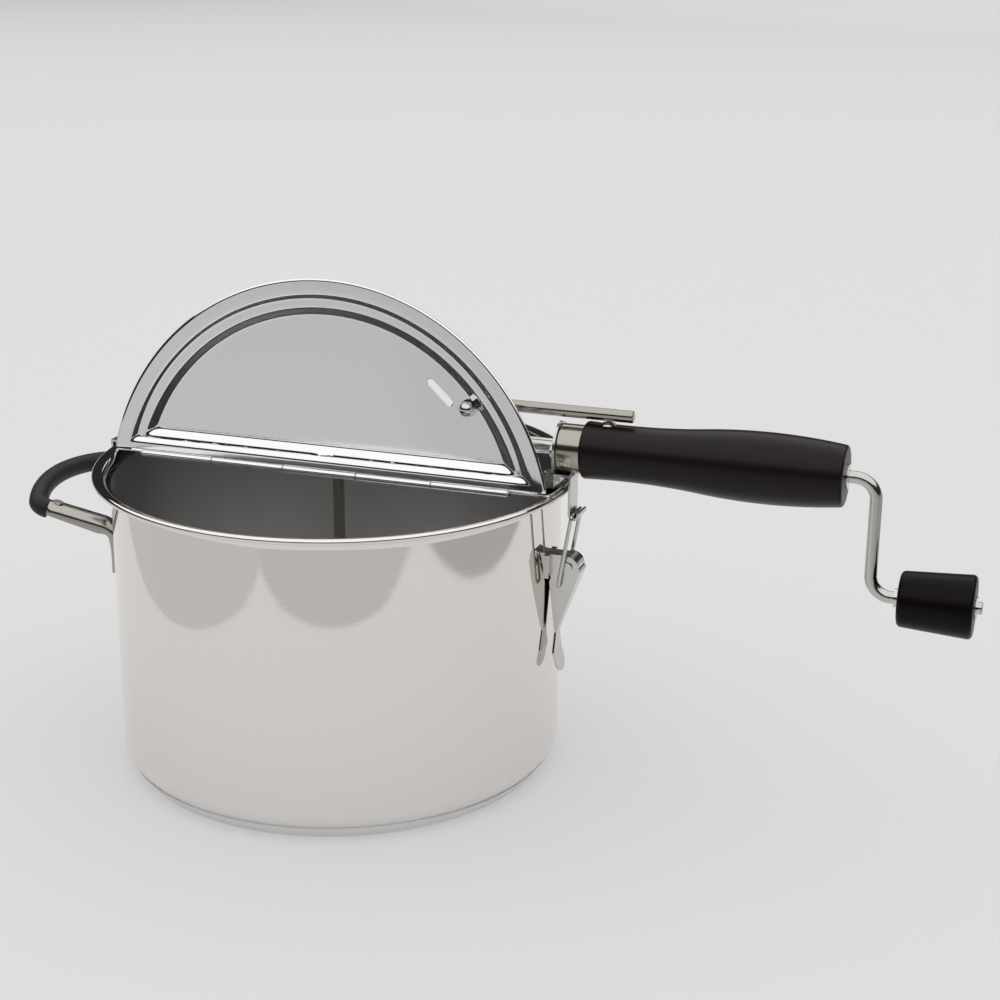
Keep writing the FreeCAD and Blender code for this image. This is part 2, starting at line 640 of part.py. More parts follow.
def lid_half(label, front, ridge_inset, panel_inset, knuckles):
    """Half of the pressed lid, closed, with its steps and its rolled hinge knuckles."""
    body = new_body(label)
    pad(body, d_shape(body, "lid_low", "lid_radius", "hinge_edge", front), "lid_sheet")
    steps = (("lid_high", "ridge_top", "ridge_radius", ridge_inset),
             ("ridge_top", "panel_top", "panel_radius", panel_inset))
    for low, high, radius, inset in steps:
        lift_between(body,
                     d_shape(body, low, radius, inset, front),
                     d_shape(body, high, radius + " - step_slope", inset + " + step_slope", front))
    for low, high, radius, inset in steps:
        smaller = radius + " - lid_sheet"
        deeper = inset + " + lid_sheet"
        lift_between(body,
                     d_shape(body, low + " - lid_sheet", smaller, deeper, front),
                     d_shape(body, high + " - lid_sheet", smaller + " - step_slope",
                             deeper + " + step_slope", front), take_away=True)
    away = -1 if front else 1
    for number in knuckles:
        start = "knuckle_length * %d - hinge_half + knuckle_gap / 2" % number
        tab = outline(sketch_on(body, "YZ_Plane", start), [
            ("%d * (hinge_edge + 0.3) - hinge_offset" % away, "lid_low"),
            ("%d * (hinge_pin_radius + 0.3) - hinge_offset" % away, "lid_low"),
            ("%d * (hinge_pin_radius + 0.3) - hinge_offset" % away, "lid_high"),
            ("%d * (hinge_edge + 0.3) - hinge_offset" % away, "lid_high"),
        ])
        pad(body, tab, "knuckle_length - knuckle_gap")
        roll = ring(sketch_on(body, "YZ_Plane", start), "0 - hinge_offset", "hinge_height",
                    "knuckle_radius")
        pad(body, roll, "knuckle_length - knuckle_gap")
    bore = ring(sketch_on(body, "YZ_Plane"), "0 - hinge_offset", "hinge_height",
                "hinge_pin_radius + turn_fit")
    cut(body, bore, "2 * hinge_half + 2", both_ways=True)
    return body


def hang_on_hinge(thing):
    """Turn a piece of the closed flap up to the angle at which the flap rests."""
    turn(thing, (1, 0, 0), "0 - flap_open")
    place(thing, "0",
          "0 - hinge_offset * (1 - cos(flap_open)) - hinge_height * sin(flap_open)",
          "hinge_height * (1 - cos(flap_open)) - hinge_offset * sin(flap_open)")


def make_front_flap():
    """The hinged half of the lid, with its steam slot and the lever's hole."""
    body = lid_half("front_flap", True, "flap_ridge_inset", "flap_panel_inset", (1, 3))
    reach = ("vent_reach * cos(vent_turn)", "0 - vent_reach * sin(vent_turn)")
    along = ("sin(vent_turn)", "cos(vent_turn)")
    aside = ("cos(vent_turn)", "(0 - sin(vent_turn))")

    def corner(end, edge):
        return tuple("%s + (%s) * %s * vent_length / 2 + (%s) * %s * vent_width / 2"
                     % (reach[i], end, along[i], edge, aside[i]) for i in (0, 1))

    slot = outline(sketch_on(body, "XY_Plane", "panel_top + 1"), [
        corner("1", "1"),
        corner("1", "0 - 1") + ("vent_width * 0.52", 1),
        corner("0 - 1", "0 - 1"),
        corner("0 - 1", "1") + ("vent_width * 0.52", 1),
    ])
    cut(body, slot, "panel_rise + ridge_rise")
    hole = ring(sketch_on(body, "XY_Plane", "panel_top + 1"), "lever_foot", "lever_closed_y",
                "rod_radius + 0.05")
    cut(body, hole, "panel_rise + ridge_rise")
    hang_on_hinge(body)
    return body


def make_rear_lid():
    """The fixed half of the lid."""
    body = lid_half("rear_lid", False, "rear_ridge_inset", "rear_panel_inset", (0, 2, 4))
    hole = ring(sketch_on(body, "XY_Plane", "panel_top + 1"), "0", "0", "bush_body")
    cut(body, hole, "panel_rise + ridge_rise")
    return body


def make_lever_rod():
    """The flap lever: along the handle when the flap is open, then through the flap."""
    body = new_body("flap_lever")
    path = outline(sketch_on(body, "XZ_Plane", "0 - lever_closed_y"), [
        ("lever_end", "lever_closed_z"),
        ("lever_foot + lever_bend", "lever_closed_z"),
        ("lever_foot", "lever_closed_z - lever_bend", "lever_bend", 1),
        ("lever_foot", "panel_top - lid_sheet - nut_corner"),
    ], closed=False)
    section = ring(sketch_on(body, "YZ_Plane", "lever_end"), "lever_closed_y", "lever_closed_z",
                   "rod_radius")
    rod(body, section, path)
    hang_on_hinge(body)
    return body


def hexagon(name, height, z):
    """A hexagonal block centred on the flap lever's foot."""
    made = DOC.addObject("Part::Prism", name)
    made.Polygon = 6
    bind(made, Circumradius="nut_corner", Height=height)
    place(made, "lever_foot", "lever_closed_y", z)
    return made


def make_lever_nuts():
    """The domed nut inside the flap and the plain nut behind it."""
    low = "panel_top - lid_sheet - nut_corner * 0.8"
    body = hexagon("domed_nut_hexagon", "nut_corner * 0.8", low)
    dome = DOC.addObject("Part::Sphere", "domed_nut_dome")
    bind(dome, Radius="nut_corner * 0.8")
    place(dome, "lever_foot", "lever_closed_y", low)
    thread = barrel("domed_nut_thread", "rod_radius", "nut_corner + 0.01", "lever_foot",
                    "lever_closed_y", "panel_top - lid_sheet - nut_corner")
    domed = less("lever_domed_nut", joined("domed_nut_body", [body, dome]), [thread])
    hang_on_hinge(domed)
    plain = hexagon("plain_nut_hexagon", "nut_corner / 2", "panel_top")
    hole = barrel("plain_nut_thread", "rod_radius", "nut_corner", "lever_foot", "lever_closed_y",
                  "panel_top - 1")
    lock = less("lever_lock_nut", plain, [hole])
    hang_on_hinge(lock)


def make_hinge_pin():
    """The wire that the lid's knuckles turn on, with peened ends."""
    start = "0 - hinge_half - pin_head_length"
    shank = barrel("hinge_pin_shank", "hinge_pin_radius", "2 * (hinge_half + pin_head_length)",
                   start, "0 - hinge_offset", "hinge_height", (1, 0, 0))
    ends = [barrel("hinge_pin_end_%d" % number, "knuckle_radius - 0.3", "pin_head_length", x,
                   "0 - hinge_offset", "hinge_height", (1, 0, 0))
            for number, x in enumerate((start, "hinge_half"))]
    return joined("hinge_pin", [shank] + ends)


def make_lid_hook():
    """The tongue opposite the handle that holds the lid under the lip."""
    body = new_body("lid_hook")
    out = "0 - lip_radius - hook_side"
    low = "bead_height - bead_radius - hook_under"
    drawing = outline(sketch_on(body, "XZ_Plane"), [
        ("0 - ridge_radius - 0.8", "lid_high"),
        ("0 - ridge_radius - 0.8", "lid_high + hook_sheet"),
        (out + " - hook_sheet", "lid_high + hook_sheet"),
        (out + " - hook_sheet", low + " - hook_sheet"),
        ("0 - lip_radius + 2.2", low + " - hook_sheet"),
        ("0 - lip_radius + 2.2", low),
        (out, low),
        (out, "lid_high"),
    ])
    pad(body, drawing, "2 * hook_half", both_ways=True)
    return body


def make_handle_bracket():
    """The upright plate between lid and handle, with its foot on the lid."""
    body = new_body("handle_bracket")
    upright = outline(sketch_on(body, "YZ_Plane", "plate_inner"), [
        ("0 - plate_half", "ridge_top"),
        ("plate_half", "ridge_top"),
        ("plate_half", "axis_height"),
        ("0", "axis_height + plate_half", "plate_half", 1),
        ("0 - plate_half", "axis_height", "plate_half", 1),
    ])
    pad(body, upright, "plate_sheet")
    foot = outline(sketch_on(body, "XY_Plane", "ridge_top"), [
        ("plate_inner - foot_length", "0 - plate_half"),
        ("plate_inner + 0.01", "0 - plate_half"),
        ("plate_inner + 0.01", "plate_half"),
        ("plate_inner - foot_length", "plate_half"),
    ])
    pad(body, foot, "plate_sheet")
    holes = sketch_on(body, "YZ_Plane", "plate_outer + 1")
    ring(holes, "0", "axis_height", "rod_radius + turn_fit")
    for side in ("0 - ", ""):
        ring(holes, side + "plate_half * 0.65", "axis_height", "screw_radius")
    cut(body, holes, "plate_sheet + 2")
    return body


def make_catch_strap():
    """The strap that passes over the lip and ends in the hook for the bail."""
    body = new_body("catch_strap")
    corner = "(strap_sheet + 1)"
    lip = "strap_face + 2 * hook_room"
    drawing = outline(sketch_on(body, "XZ_Plane"), [
        ("plate_outer", "strap_top - 3.4"),
        ("plate_outer", "strap_top"),
        ("strap_face - " + corner, "strap_top"),
        ("strap_face", "strap_top - " + corner, corner, -1),
        ("strap_face", "hook_centre_height"),
        ("hook_centre_x", "hook_centre_height - hook_room", "hook_room", 1),
        (lip, "hook_centre_height", "hook_room", 1),
        (lip, "hook_centre_height + 1"),
        (lip + " + strap_sheet", "hook_centre_height + 1"),
        (lip + " + strap_sheet", "hook_centre_height"),
        ("hook_centre_x", "hook_centre_height - hook_room - strap_sheet",
         "hook_room + strap_sheet", -1),
        ("strap_face - strap_sheet", "hook_centre_height", "hook_room + strap_sheet", -1),
        ("strap_face - strap_sheet", "strap_top - " + corner),
        ("strap_face - " + corner, "strap_top - strap_sheet", "1", 1),
        ("plate_outer + strap_sheet", "strap_top - strap_sheet"),
        ("plate_outer + strap_sheet", "strap_top - 3.4"),
    ])
    pad(body, drawing, "2 * strap_half", both_ways=True)
    return body


def turned_on_axis(label, points, height="axis_height"):
    """A piece turned about a line along +X: each point is (x, radius)."""
    body = new_body(label)
    revolve(body, outline(sketch_on(body, "XZ_Plane"), points), "H_Axis")
    place(body, z=height)
    return body


def make_handle_ferrule():
    """The steel collar: a cup whose bottom is against the bracket."""
    inner = "ferrule_radius - ferrule_sheet"
    body = turned_on_axis("handle_ferrule", [
        ("plate_outer", "rod_radius + bore_room"),
        ("plate_outer", "ferrule_radius - 1"),
        ("plate_outer + 1", "ferrule_radius", "1", -1),
        ("collar_end", "ferrule_radius"),
        ("collar_end", inner),
        ("plate_outer + ferrule_sheet", inner),
        ("plate_outer + ferrule_sheet", "rod_radius + bore_room"),
    ])
    holes = sketch_on(body, "YZ_Plane", "plate_outer + 2 * ferrule_sheet")
    for side in ("0 - ", ""):
        ring(holes, side + "plate_half * 0.65", "0", "screw_radius")
    cut(body, holes, "3 * ferrule_sheet")
    return body


def make_wood_handle():
    """The turned handle: tenon, waist and belly, bored for the crank rod."""
    bore = "rod_radius + bore_room"
    tenon = "ferrule_radius - ferrule_sheet - tenon_fit"
    body = turned_on_axis("wood_handle", [
        ("plate_outer + ferrule_sheet + 0.2", bore),
        ("plate_outer + ferrule_sheet + 0.2", tenon),
        ("collar_end", tenon),
        ("collar_end", "handle_root - handle_round"),
        ("collar_end + handle_round", "handle_root", "handle_round", -1),
        ("collar_end + belly_start", "handle_middle", "waist_curve", 1),
        ("wood_end - handle_round", "handle_tip", "belly_curve", -1),
        ("wood_end", "handle_tip - handle_round", "handle_round", -1),
        ("wood_end", bore),
    ])
    hole = ring(sketch_on(body, "XY_Plane", "handle_root + 1"), "button_x", "0", "button_shank")
    cut(body, hole, "9")
    seat = ring(sketch_on(body, "XY_Plane", "handle_root + 1"), "button_x", "0",
                "button_radius + side_fit")
    cut(body, seat, "1 + axis_height + handle_root - button_seat")
    pilots = sketch_on(body, "YZ_Plane", "collar_end")
    for side in ("0 - ", ""):
        ring(pilots, side + "plate_half * 0.65", "0", "screw_radius")
    cut(body, pilots, "ferrule_length")
    return body


def make_stop_button():
    """The domed screw on the handle that the flap lever rests on."""
    body = new_body("stop_button")
    drawing = outline(sketch_on(body, "XZ_Plane"), [
        ("0", "0 - 7"),
        ("button_shank", "0 - 7"),
        ("button_shank", "0"),
        ("button_radius", "0"),
        ("0", "button_rise", "(button_radius ^ 2 + button_rise ^ 2) / (2 * button_rise)", 1),
    ])
    revolve(body, drawing)
    place(body, "button_x", "0", "button_seat")
    return body


def make_bracket_screws():
    """Two screws through the bracket and the collar into the wood."""
    made = []
    for number, side in enumerate(("0 - ", "")):
        y = side + "plate_half * 0.65"
        head = barrel("bracket_screw_head_%d" % number, "screw_head", "screw_rise",
                      "plate_inner - screw_rise", y, "axis_height", (1, 0, 0))
        shank = barrel("bracket_screw_shank_%d" % number, "screw_radius", "ferrule_length",
                       "plate_inner", y, "axis_height", (1, 0, 0))
        made.append(joined("bracket_screw_%d" % number, [head, shank]))
    return group("bracket_screws", made)


def make_handle_bush():
    """The flanged bush where the crank rod leaves the wood."""
    return turned_on_axis("handle_end_bush", [
        ("wood_end - 8", "rod_radius + turn_fit"),
        ("wood_end - 8", "rod_radius + bore_room"),
        ("wood_end", "rod_radius + bore_room"),
        ("wood_end", "2 * rod_radius"),
        ("wood_end + 1.2", "2 * rod_radius"),
        ("wood_end + 1.2", "rod_radius + turn_fit"),
    ])


def make_crank_tube():
    """The tube that guides the crank rod from the bracket to the gear frame."""
    return turned_on_axis("crank_tube", [
        ("frame_outer + frame_sheet", "tube_bore"),
        ("frame_outer + frame_sheet", "tube_bore + tube_wall"),
        ("plate_inner", "tube_bore + tube_wall"),
        ("plate_inner", "tube_bore"),
    ])


def make_crank_rod():
    """The crank: one rod, straight through the handle, bent down and out again."""
    body = new_body("crank_rod")
    start = "0 - frame_inner - frame_sheet - 2.5"
    path = outline(sketch_on(body, "XZ_Plane"), [
        (start, "0"),
        ("arm_reach - crank_bend", "0"),
        ("arm_reach", "0 - crank_bend", "crank_bend", -1),
        ("arm_reach", "crank_bend - arm_drop"),
        ("arm_reach + crank_bend", "0 - arm_drop", "crank_bend", 1),
        ("crank_tip", "0 - arm_drop"),
    ], closed=False)
    rod(body, ring(sketch_on(body, "YZ_Plane", start), "0", "0", "rod_radius"), path)
    place(body, z="axis_height")
    return body


def collar(label, start, end, radius, height):
    """A ring pressed on the crank rod."""
    return turned_on_axis(label, [
        (start, "rod_radius"), (start, radius), (end, radius), (end, "rod_radius")], height)


def make_crank_knob():
    """The turned wooden knob that spins on the end of the crank."""
    bore = "rod_radius + turn_fit"
    return turned_on_axis("crank_knob", [
        ("knob_start", bore),
        ("knob_start", "knob_small - knob_round"),
        ("knob_start + knob_round", "knob_small", "knob_round", -1),
        ("knob_end - knob_round", "knob_large"),
        ("knob_end", "knob_large - knob_round", "knob_round", -1),
        ("knob_end", bore),
    ], "knob_height")


def bevel_gear(label, hub_end, phase):
    """A straight bevel gear about +Z with its pitch cone's tip at the origin."""
    pitch = value("gear_radius")
    teeth = int(value("gear_teeth"))
    slant = pitch * math.sqrt(2)
    shrink = (slant - value("gear_face")) / slant
    step = 1 / math.sqrt(2)
    tip, root = value("tooth_tip") * step, value("tooth_root") * step
    bore, hub = value("rod_radius"), value("hub_radius")
    foot = Vector(pitch - root, 0, pitch + root)
    back = Vector(pitch - root - 1, 0, pitch + root + 1)
    profile = [Vector(bore, 0, foot.z * shrink), foot * shrink, foot, back,
               Vector(hub, 0, back.z), Vector(hub, 0, hub_end), Vector(bore, 0, hub_end)]
    blank = Part.Face(Part.makePolygon(profile + profile[:1])).revolve(Vector(), Vector(0, 0, 1), 360)
    half = value("tooth_share") * math.pi * pitch / teeth
    slope = math.tan(math.radians(20))
    top = half - value("tooth_tip") * slope
    bottom = half + value("tooth_root") * slope
    sunk = root + 0.25
    section = [Vector(pitch + tip, -top, pitch - tip), Vector(pitch + tip, top, pitch - tip),
               Vector(pitch - sunk, bottom, pitch + sunk), Vector(pitch - sunk, -bottom, pitch + sunk)]
    wires = [Part.makePolygon([point * size for point in section + section[:1]])
             for size in (1.0, shrink)]
    tooth = Part.makeLoft(wires, True, True)
    copies = []
    for number in range(teeth):
        copy = tooth.copy()
        copy.rotate(Vector(), Vector(0, 0, 1), (number + phase) * 360.0 / teeth)
        copies.append(copy)
    made = DOC.addObject("Part::Feature", label)
    made.Shape = blank.multiFuse(copies).removeSplitter()
    made.Label = label
    return made


def make_gears():
    """The two bevel gears above the lid: one on the crank, one on the stirrer."""
    drive = bevel_gear("drive_gear", value("drive_hub_end"), 0)
    drive.Placement = Placement(Vector(0, 0, value("axis_height")), Rotation(Vector(0, 1, 0), 90))
    driven = bevel_gear("driven_gear", value("driven_hub_end"), 0.5)
    driven.Placement = Placement(Vector(0, 0, value("axis_height")), Rotation(Vector(1, 0, 0), 180))


def make_gear_frame():
    """The sheet frame on the lid that carries the inner end of the crank."""
    body = new_body("gear_frame")
    low, high = "0 - frame_inner - frame_sheet", "frame_outer + frame_sheet"
    floor = outline(sketch_on(body, "XY_Plane", "panel_top"), [
        (low, "0 - frame_half"), (high, "0 - frame_half"), (high, "frame_half"), (low, "frame_half")])
    pad(body, floor, "frame_sheet")
    for start in (low, "frame_outer"):
        upright = outline(sketch_on(body, "YZ_Plane", start), [
            ("0 - frame_half", "panel_top"), ("frame_half", "panel_top"),
            ("frame_half", "frame_top"), ("0 - frame_half", "frame_top")])
        pad(body, upright, "frame_sheet")
    for start, end in ((low, "7 - frame_inner"), ("frame_outer - 7", high)):
        tab = outline(sketch_on(body, "XY_Plane", "frame_top - frame_sheet"), [
            (start, "0 - frame_half"), (end, "0 - frame_half"), (end, "frame_half"), (start, "frame_half")])
        pad(body, tab, "frame_sheet")
    bearing = ring(sketch_on(body, "YZ_Plane"), "0", "axis_height", "rod_radius + turn_fit")
    cut(body, bearing, "4 * frame_outer", both_ways=True)
    bush = ring(sketch_on(body, "XY_Plane", "panel_top + 3"), "0", "0", "bush_body")
    cut(body, bush, "4")
    threads = sketch_on(body, "XY_Plane", "frame_top + 1")
    for x in ("3.5 - frame_inner", "frame_outer - 3.5"):
        ring(threads, x, "0", "screw_radius")
    cut(body, threads, "4")
    return body


def make_gear_cover():
    """The folded cover over the gears, held by two screws."""
    body = new_body("gear_cover")
    inner, outer = "frame_half + side_fit", "frame_half + side_fit + frame_sheet"
    low, high = "panel_top + 1", "frame_top"
    drawing = outline(sketch_on(body, "YZ_Plane", "0 - frame_inner - frame_sheet"), [
        ("0 - (%s)" % outer, low), ("0 - (%s)" % inner, low), ("0 - (%s)" % inner, high),
        (inner, high), (inner, low), (outer, low),
        (outer, high + " + frame_sheet - 2"),
        (outer + " - 2", high + " + frame_sheet", "2", 1),
        ("2 - (%s)" % outer, high + " + frame_sheet"),
        ("0 - (%s)" % outer, high + " + frame_sheet - 2", "2", 1),
    ])
    pad(body, drawing, "frame_inner + frame_outer + 2 * frame_sheet")
    holes = sketch_on(body, "XY_Plane", "frame_top + 3")
    for x in ("3.5 - frame_inner", "frame_outer - 3.5"):
        ring(holes, x, "0", "screw_radius")
    cut(body, holes, "5")
    return body


def make_cover_screws():
    """The two screws of the gear cover."""
    made = []
    for number, x in enumerate(("3.5 - frame_inner", "frame_outer - 3.5")):
        head = barrel("cover_screw_head_%d" % number, "screw_head", "screw_rise", x, "0",
                      "frame_top + frame_sheet")
        shank = barrel("cover_screw_shank_%d" % number, "screw_radius", "frame_sheet + 3", x, "0",
                       "frame_top - 3")
        made.append(joined("cover_screw_%d" % number, [head, shank]))
    return group("gear_cover_screws", made)


def make_shaft_bush():
    """The bush in the lid that the stirrer shaft turns in."""
    body = new_body("stirrer_bush")
    low = "lid_low - bush_depth"
    drawing = outline(sketch_on(body, "XZ_Plane"), [
        ("rod_radius + turn_fit", low),
        ("bush_body", low),
        ("bush_body", "bush_top - bush_rim"),
        ("bush_flange", "bush_top - bush_rim"),
        ("bush_flange", "bush_top"),
        ("rod_radius + turn_fit", "bush_top"),
    ])
    revolve(body, drawing)
    return body


def make_stirrer_shaft():
    """The upright shaft, cross drilled for the stirring wire."""
    shaft = barrel("stirrer_shaft_rod", "rod_radius", "axis_height - 7.5 - floor_top - 0.6", "0", "0",
                   "floor_top + 0.6")
    hole = barrel("stirrer_shaft_hole", "wire_radius", "4 * rod_radius", "0 - 2 * rod_radius", "0",
                  "wire_height", (1, 0, 0))
    return less("stirrer_shaft", shaft, [hole])


def make_stirring_wire():
    """The stirring wire: two arms bent the same way round, just above the floor."""
    body = new_body("stirring_wire")
    tip = "(wire_root + wire_curve * sin(wire_angle))"
    path = outline(sketch_on(body, "XY_Plane"), [
        ("0", "0"),
        ("wire_root", "0"),
        (tip, "wire_curve * (1 - cos(wire_angle))", "wire_curve", 1),
    ], closed=False)
    arm = rod(body, ring(sketch_on(body, "YZ_Plane"), "0", "0", "wire_radius"), path)
    both = body.newObject("PartDesign::PolarPattern", "stirring_wire_arms")
    both.Originals = [arm]
    both.Axis = (origin_part(body, "Z_Axis"), [""])
    both.Angle = 360
    both.Occurrences = 2
    body.Tip = both
    place(body, z="wire_height")
    return body


def make_latch_base():
    """The latch's seat on the wall: a plate and a curved hood around the pivot."""
    body = new_body("latch_base")
    edge = "sqrt(pot_radius ^ 2 - base_plate_half ^ 2)"
    plate = outline(sketch_on(body, "XY_Plane", "base_low"), [
        (edge, "0 - base_plate_half", "pot_radius", -1),
        ("base_face", "0 - base_plate_half"),
        ("base_face", "base_plate_half"),
        (edge, "base_plate_half"),
    ])
    pad(body, plate, "latch_height + base_curve - base_low")
    hood = outline(sketch_on(body, "XZ_Plane"), [
        ("base_face - 0.3", "latch_height + base_curve"),
        ("latch_x", "latch_height + base_curve"),
        ("latch_x + base_curve * cos(15)", "latch_height - base_curve * sin(15)", "base_curve", -1),
        ("latch_x + 1.8", "latch_height - 3.6"),
        ("latch_x - 2", "latch_height - 3.6"),
        ("base_face - 0.3", "latch_height - 6"),
    ])
    pad(body, hood, "2 * base_half", both_ways=True)
    less_curve = "(base_curve - latch_sheet)"
    inside = outline(sketch_on(body, "XZ_Plane"), [
        ("base_face", "latch_height + " + less_curve),
        ("latch_x", "latch_height + " + less_curve),
        ("latch_x + %s * cos(15)" % less_curve, "latch_height - %s * sin(15)" % less_curve,
         less_curve, -1),
        ("latch_x + 3", "latch_height - 9"),
        ("base_face", "latch_height - 9"),
    ])
    cut(body, inside, "2 * (base_half - latch_sheet)", both_ways=True)
    pivot = ring(sketch_on(body, "XZ_Plane"), "latch_x", "latch_height", "latch_pin_radius")
    cut(body, pivot, "4 * base_half", both_ways=True)
    return body


def make_latch_rivets():
    """The two rivets of the latch base."""
    made = [barrel("latch_rivet_%d" % number, "rivet_head", "rivet_rise", "base_face", "0",
                   z, (1, 0, 0))
            for number, z in enumerate(("base_low + 3.2", "latch_height + 1.5"))]
    return group("latch_base_rivets", made)


def make_latch_pin():
    """The riveted pivot of the latch lever."""
    reach = "(cheek_half + side_fit)"
    shank = barrel("latch_pin_shank", "latch_pin_radius", "2 * " + reach, "latch_x", "0 - " + reach,
                   "latch_height", (0, 1, 0))
    heads = [barrel("latch_pin_head_%d" % number, "rivet_head", "rivet_rise - 0.2", "latch_x", y,
                    "latch_height", (0, 1, 0))
             for number, y in enumerate(("0 - %s - rivet_rise + 0.2" % reach, reach))]
    return joined("latch_pivot_pin", [shank] + heads)


def make_latch_lever():
    """The folded lever: two cheeks, a back that narrows to a neck, and a finger end."""
    body = new_body("latch_lever")
    top = ("latch_x + web_out", "latch_height - web_drop")
    back = "latch_x + web_out - (cheek_drop - web_drop) * tan(web_angle)"
    thick = "latch_sheet / cos(web_angle)"
    corner = "latch_height - cheek_drop"
    neck = ("latch_x - neck_in", "latch_height - neck_drop")
    cheek = outline(sketch_on(body, "XZ_Plane"), [
        ("latch_x - cheek_head", "latch_height"),
        ("latch_x", "latch_height + cheek_head", "cheek_head", -1),
        ("latch_x + cheek_head", "latch_height", "cheek_head", -1),
        top,
        (back, corner),
        ("latch_x - cheek_in", corner),
    ])
    pad(body, cheek, "2 * cheek_half", both_ways=True)
    hollow = outline(sketch_on(body, "XZ_Plane"), [
        ("%s - %s + (cheek_drop + cheek_head) * tan(web_angle)" % (back, thick),
         "latch_height + cheek_head"),
        ("%s - %s" % (back, thick), corner),
        ("latch_x - 2 * cheek_in", corner),
        ("latch_x - 2 * cheek_in", "latch_height + cheek_head"),
    ])
    cut(body, hollow, "2 * (cheek_half - latch_sheet)", both_ways=True)

    def section(height, start, end, half):
        return outline(sketch_on(body, "XY_Plane", height), [
            (start, "0 - (%s)" % half), (end, "0 - (%s)" % half), (end, half), (start, half)])

    lift_between(body, section(corner, "latch_x - cheek_in", back, "cheek_half"),
                 section(neck[1], neck[0] + " - " + thick, neck[0], "neck_half"))
    lift_between(body,
                 section(corner, "latch_x - 2 * cheek_in", back + " - " + thick,
                         "cheek_half - latch_sheet"),
                 section(neck[1], "latch_x - 2 * cheek_in", neck[0] + " - " + thick,
                         "neck_half - latch_sheet"), take_away=True)
    tip = "latch_height - spoon_drop"
    spoon = outline(sketch_on(body, "XZ_Plane"), [
        neck,
        (neck[0], neck[1] + " - spoon_waist"),
        (neck[0] + " + spoon_out", tip),
        (neck[0] + " + spoon_out - latch_sheet", tip),
        (neck[0] + " - " + thick, neck[1] + " - spoon_waist"),
        (neck[0] + " - " + thick, neck[1]),
    ])
    pad(body, spoon, "2 * spoon_half", both_ways=True)
    holes = sketch_on(body, "XZ_Plane")
    ring(holes, "latch_x", "latch_height", "latch_pin_radius + turn_fit")
    ring(holes, "eye_x", "eye_height", "bail_wire + turn_fit")
    cut(body, holes, "4 * cheek_half", both_ways=True)
    sides = sketch_on(body, "YZ_Plane")
    for side, bend in (("", -1), ("0 - ", 1)):
        outline(sides, [
            (side + "(spoon_half + 1)", tip + " - 1"),
            (side + "(spoon_half + 1)", neck[1]),
            (side + "neck_half", neck[1]),
            (side + "spoon_half", neck[1] + " - spoon_waist"),
            (side + "spoon_half", tip + " + spoon_round"),
            (side + "(spoon_half - spoon_round)", tip, "spoon_round", bend),
            (side + "(spoon_half - spoon_round)", tip + " - 1"),
        ])
    cut(body, sides, "4 * latch_x", both_ways=True)
    return body


def make_latch_bail():
    """The wire loop between the lever's eyes and the catch hook."""
    body = new_body("latch_bail")
    path = outline(sketch_on(body, "YZ_Plane"), [
        ("0", "bail_length"),
        ("bail_half - bail_bend", "bail_length"),
        ("bail_half", "bail_length - bail_bend", "bail_bend", -1),
        ("bail_half", "bail_foot_bend"),
        ("bail_half - bail_foot_bend", "0", "bail_foot_bend", -1),
        ("cheek_half - 0.85", "0"),
    ], closed=False)
    section = ring(sketch_on(body, "XZ_Plane"), "0", "bail_length", "bail_wire")
    mirrored(body, rod(body, section, path))
    turn(body, (0, 1, 0), "atan(bail_lean / bail_height)")
    place(body, "eye_x", "0", "eye_height")
    return body


def rivets_down(label, spots, seat):
    """Rivet heads that stand on a level sheet."""
    made = [barrel("%s_%d" % (label, number), "rivet_head", "rivet_rise", x, y, seat)
            for number, (x, y) in enumerate(spots)]
    return group(label, made)


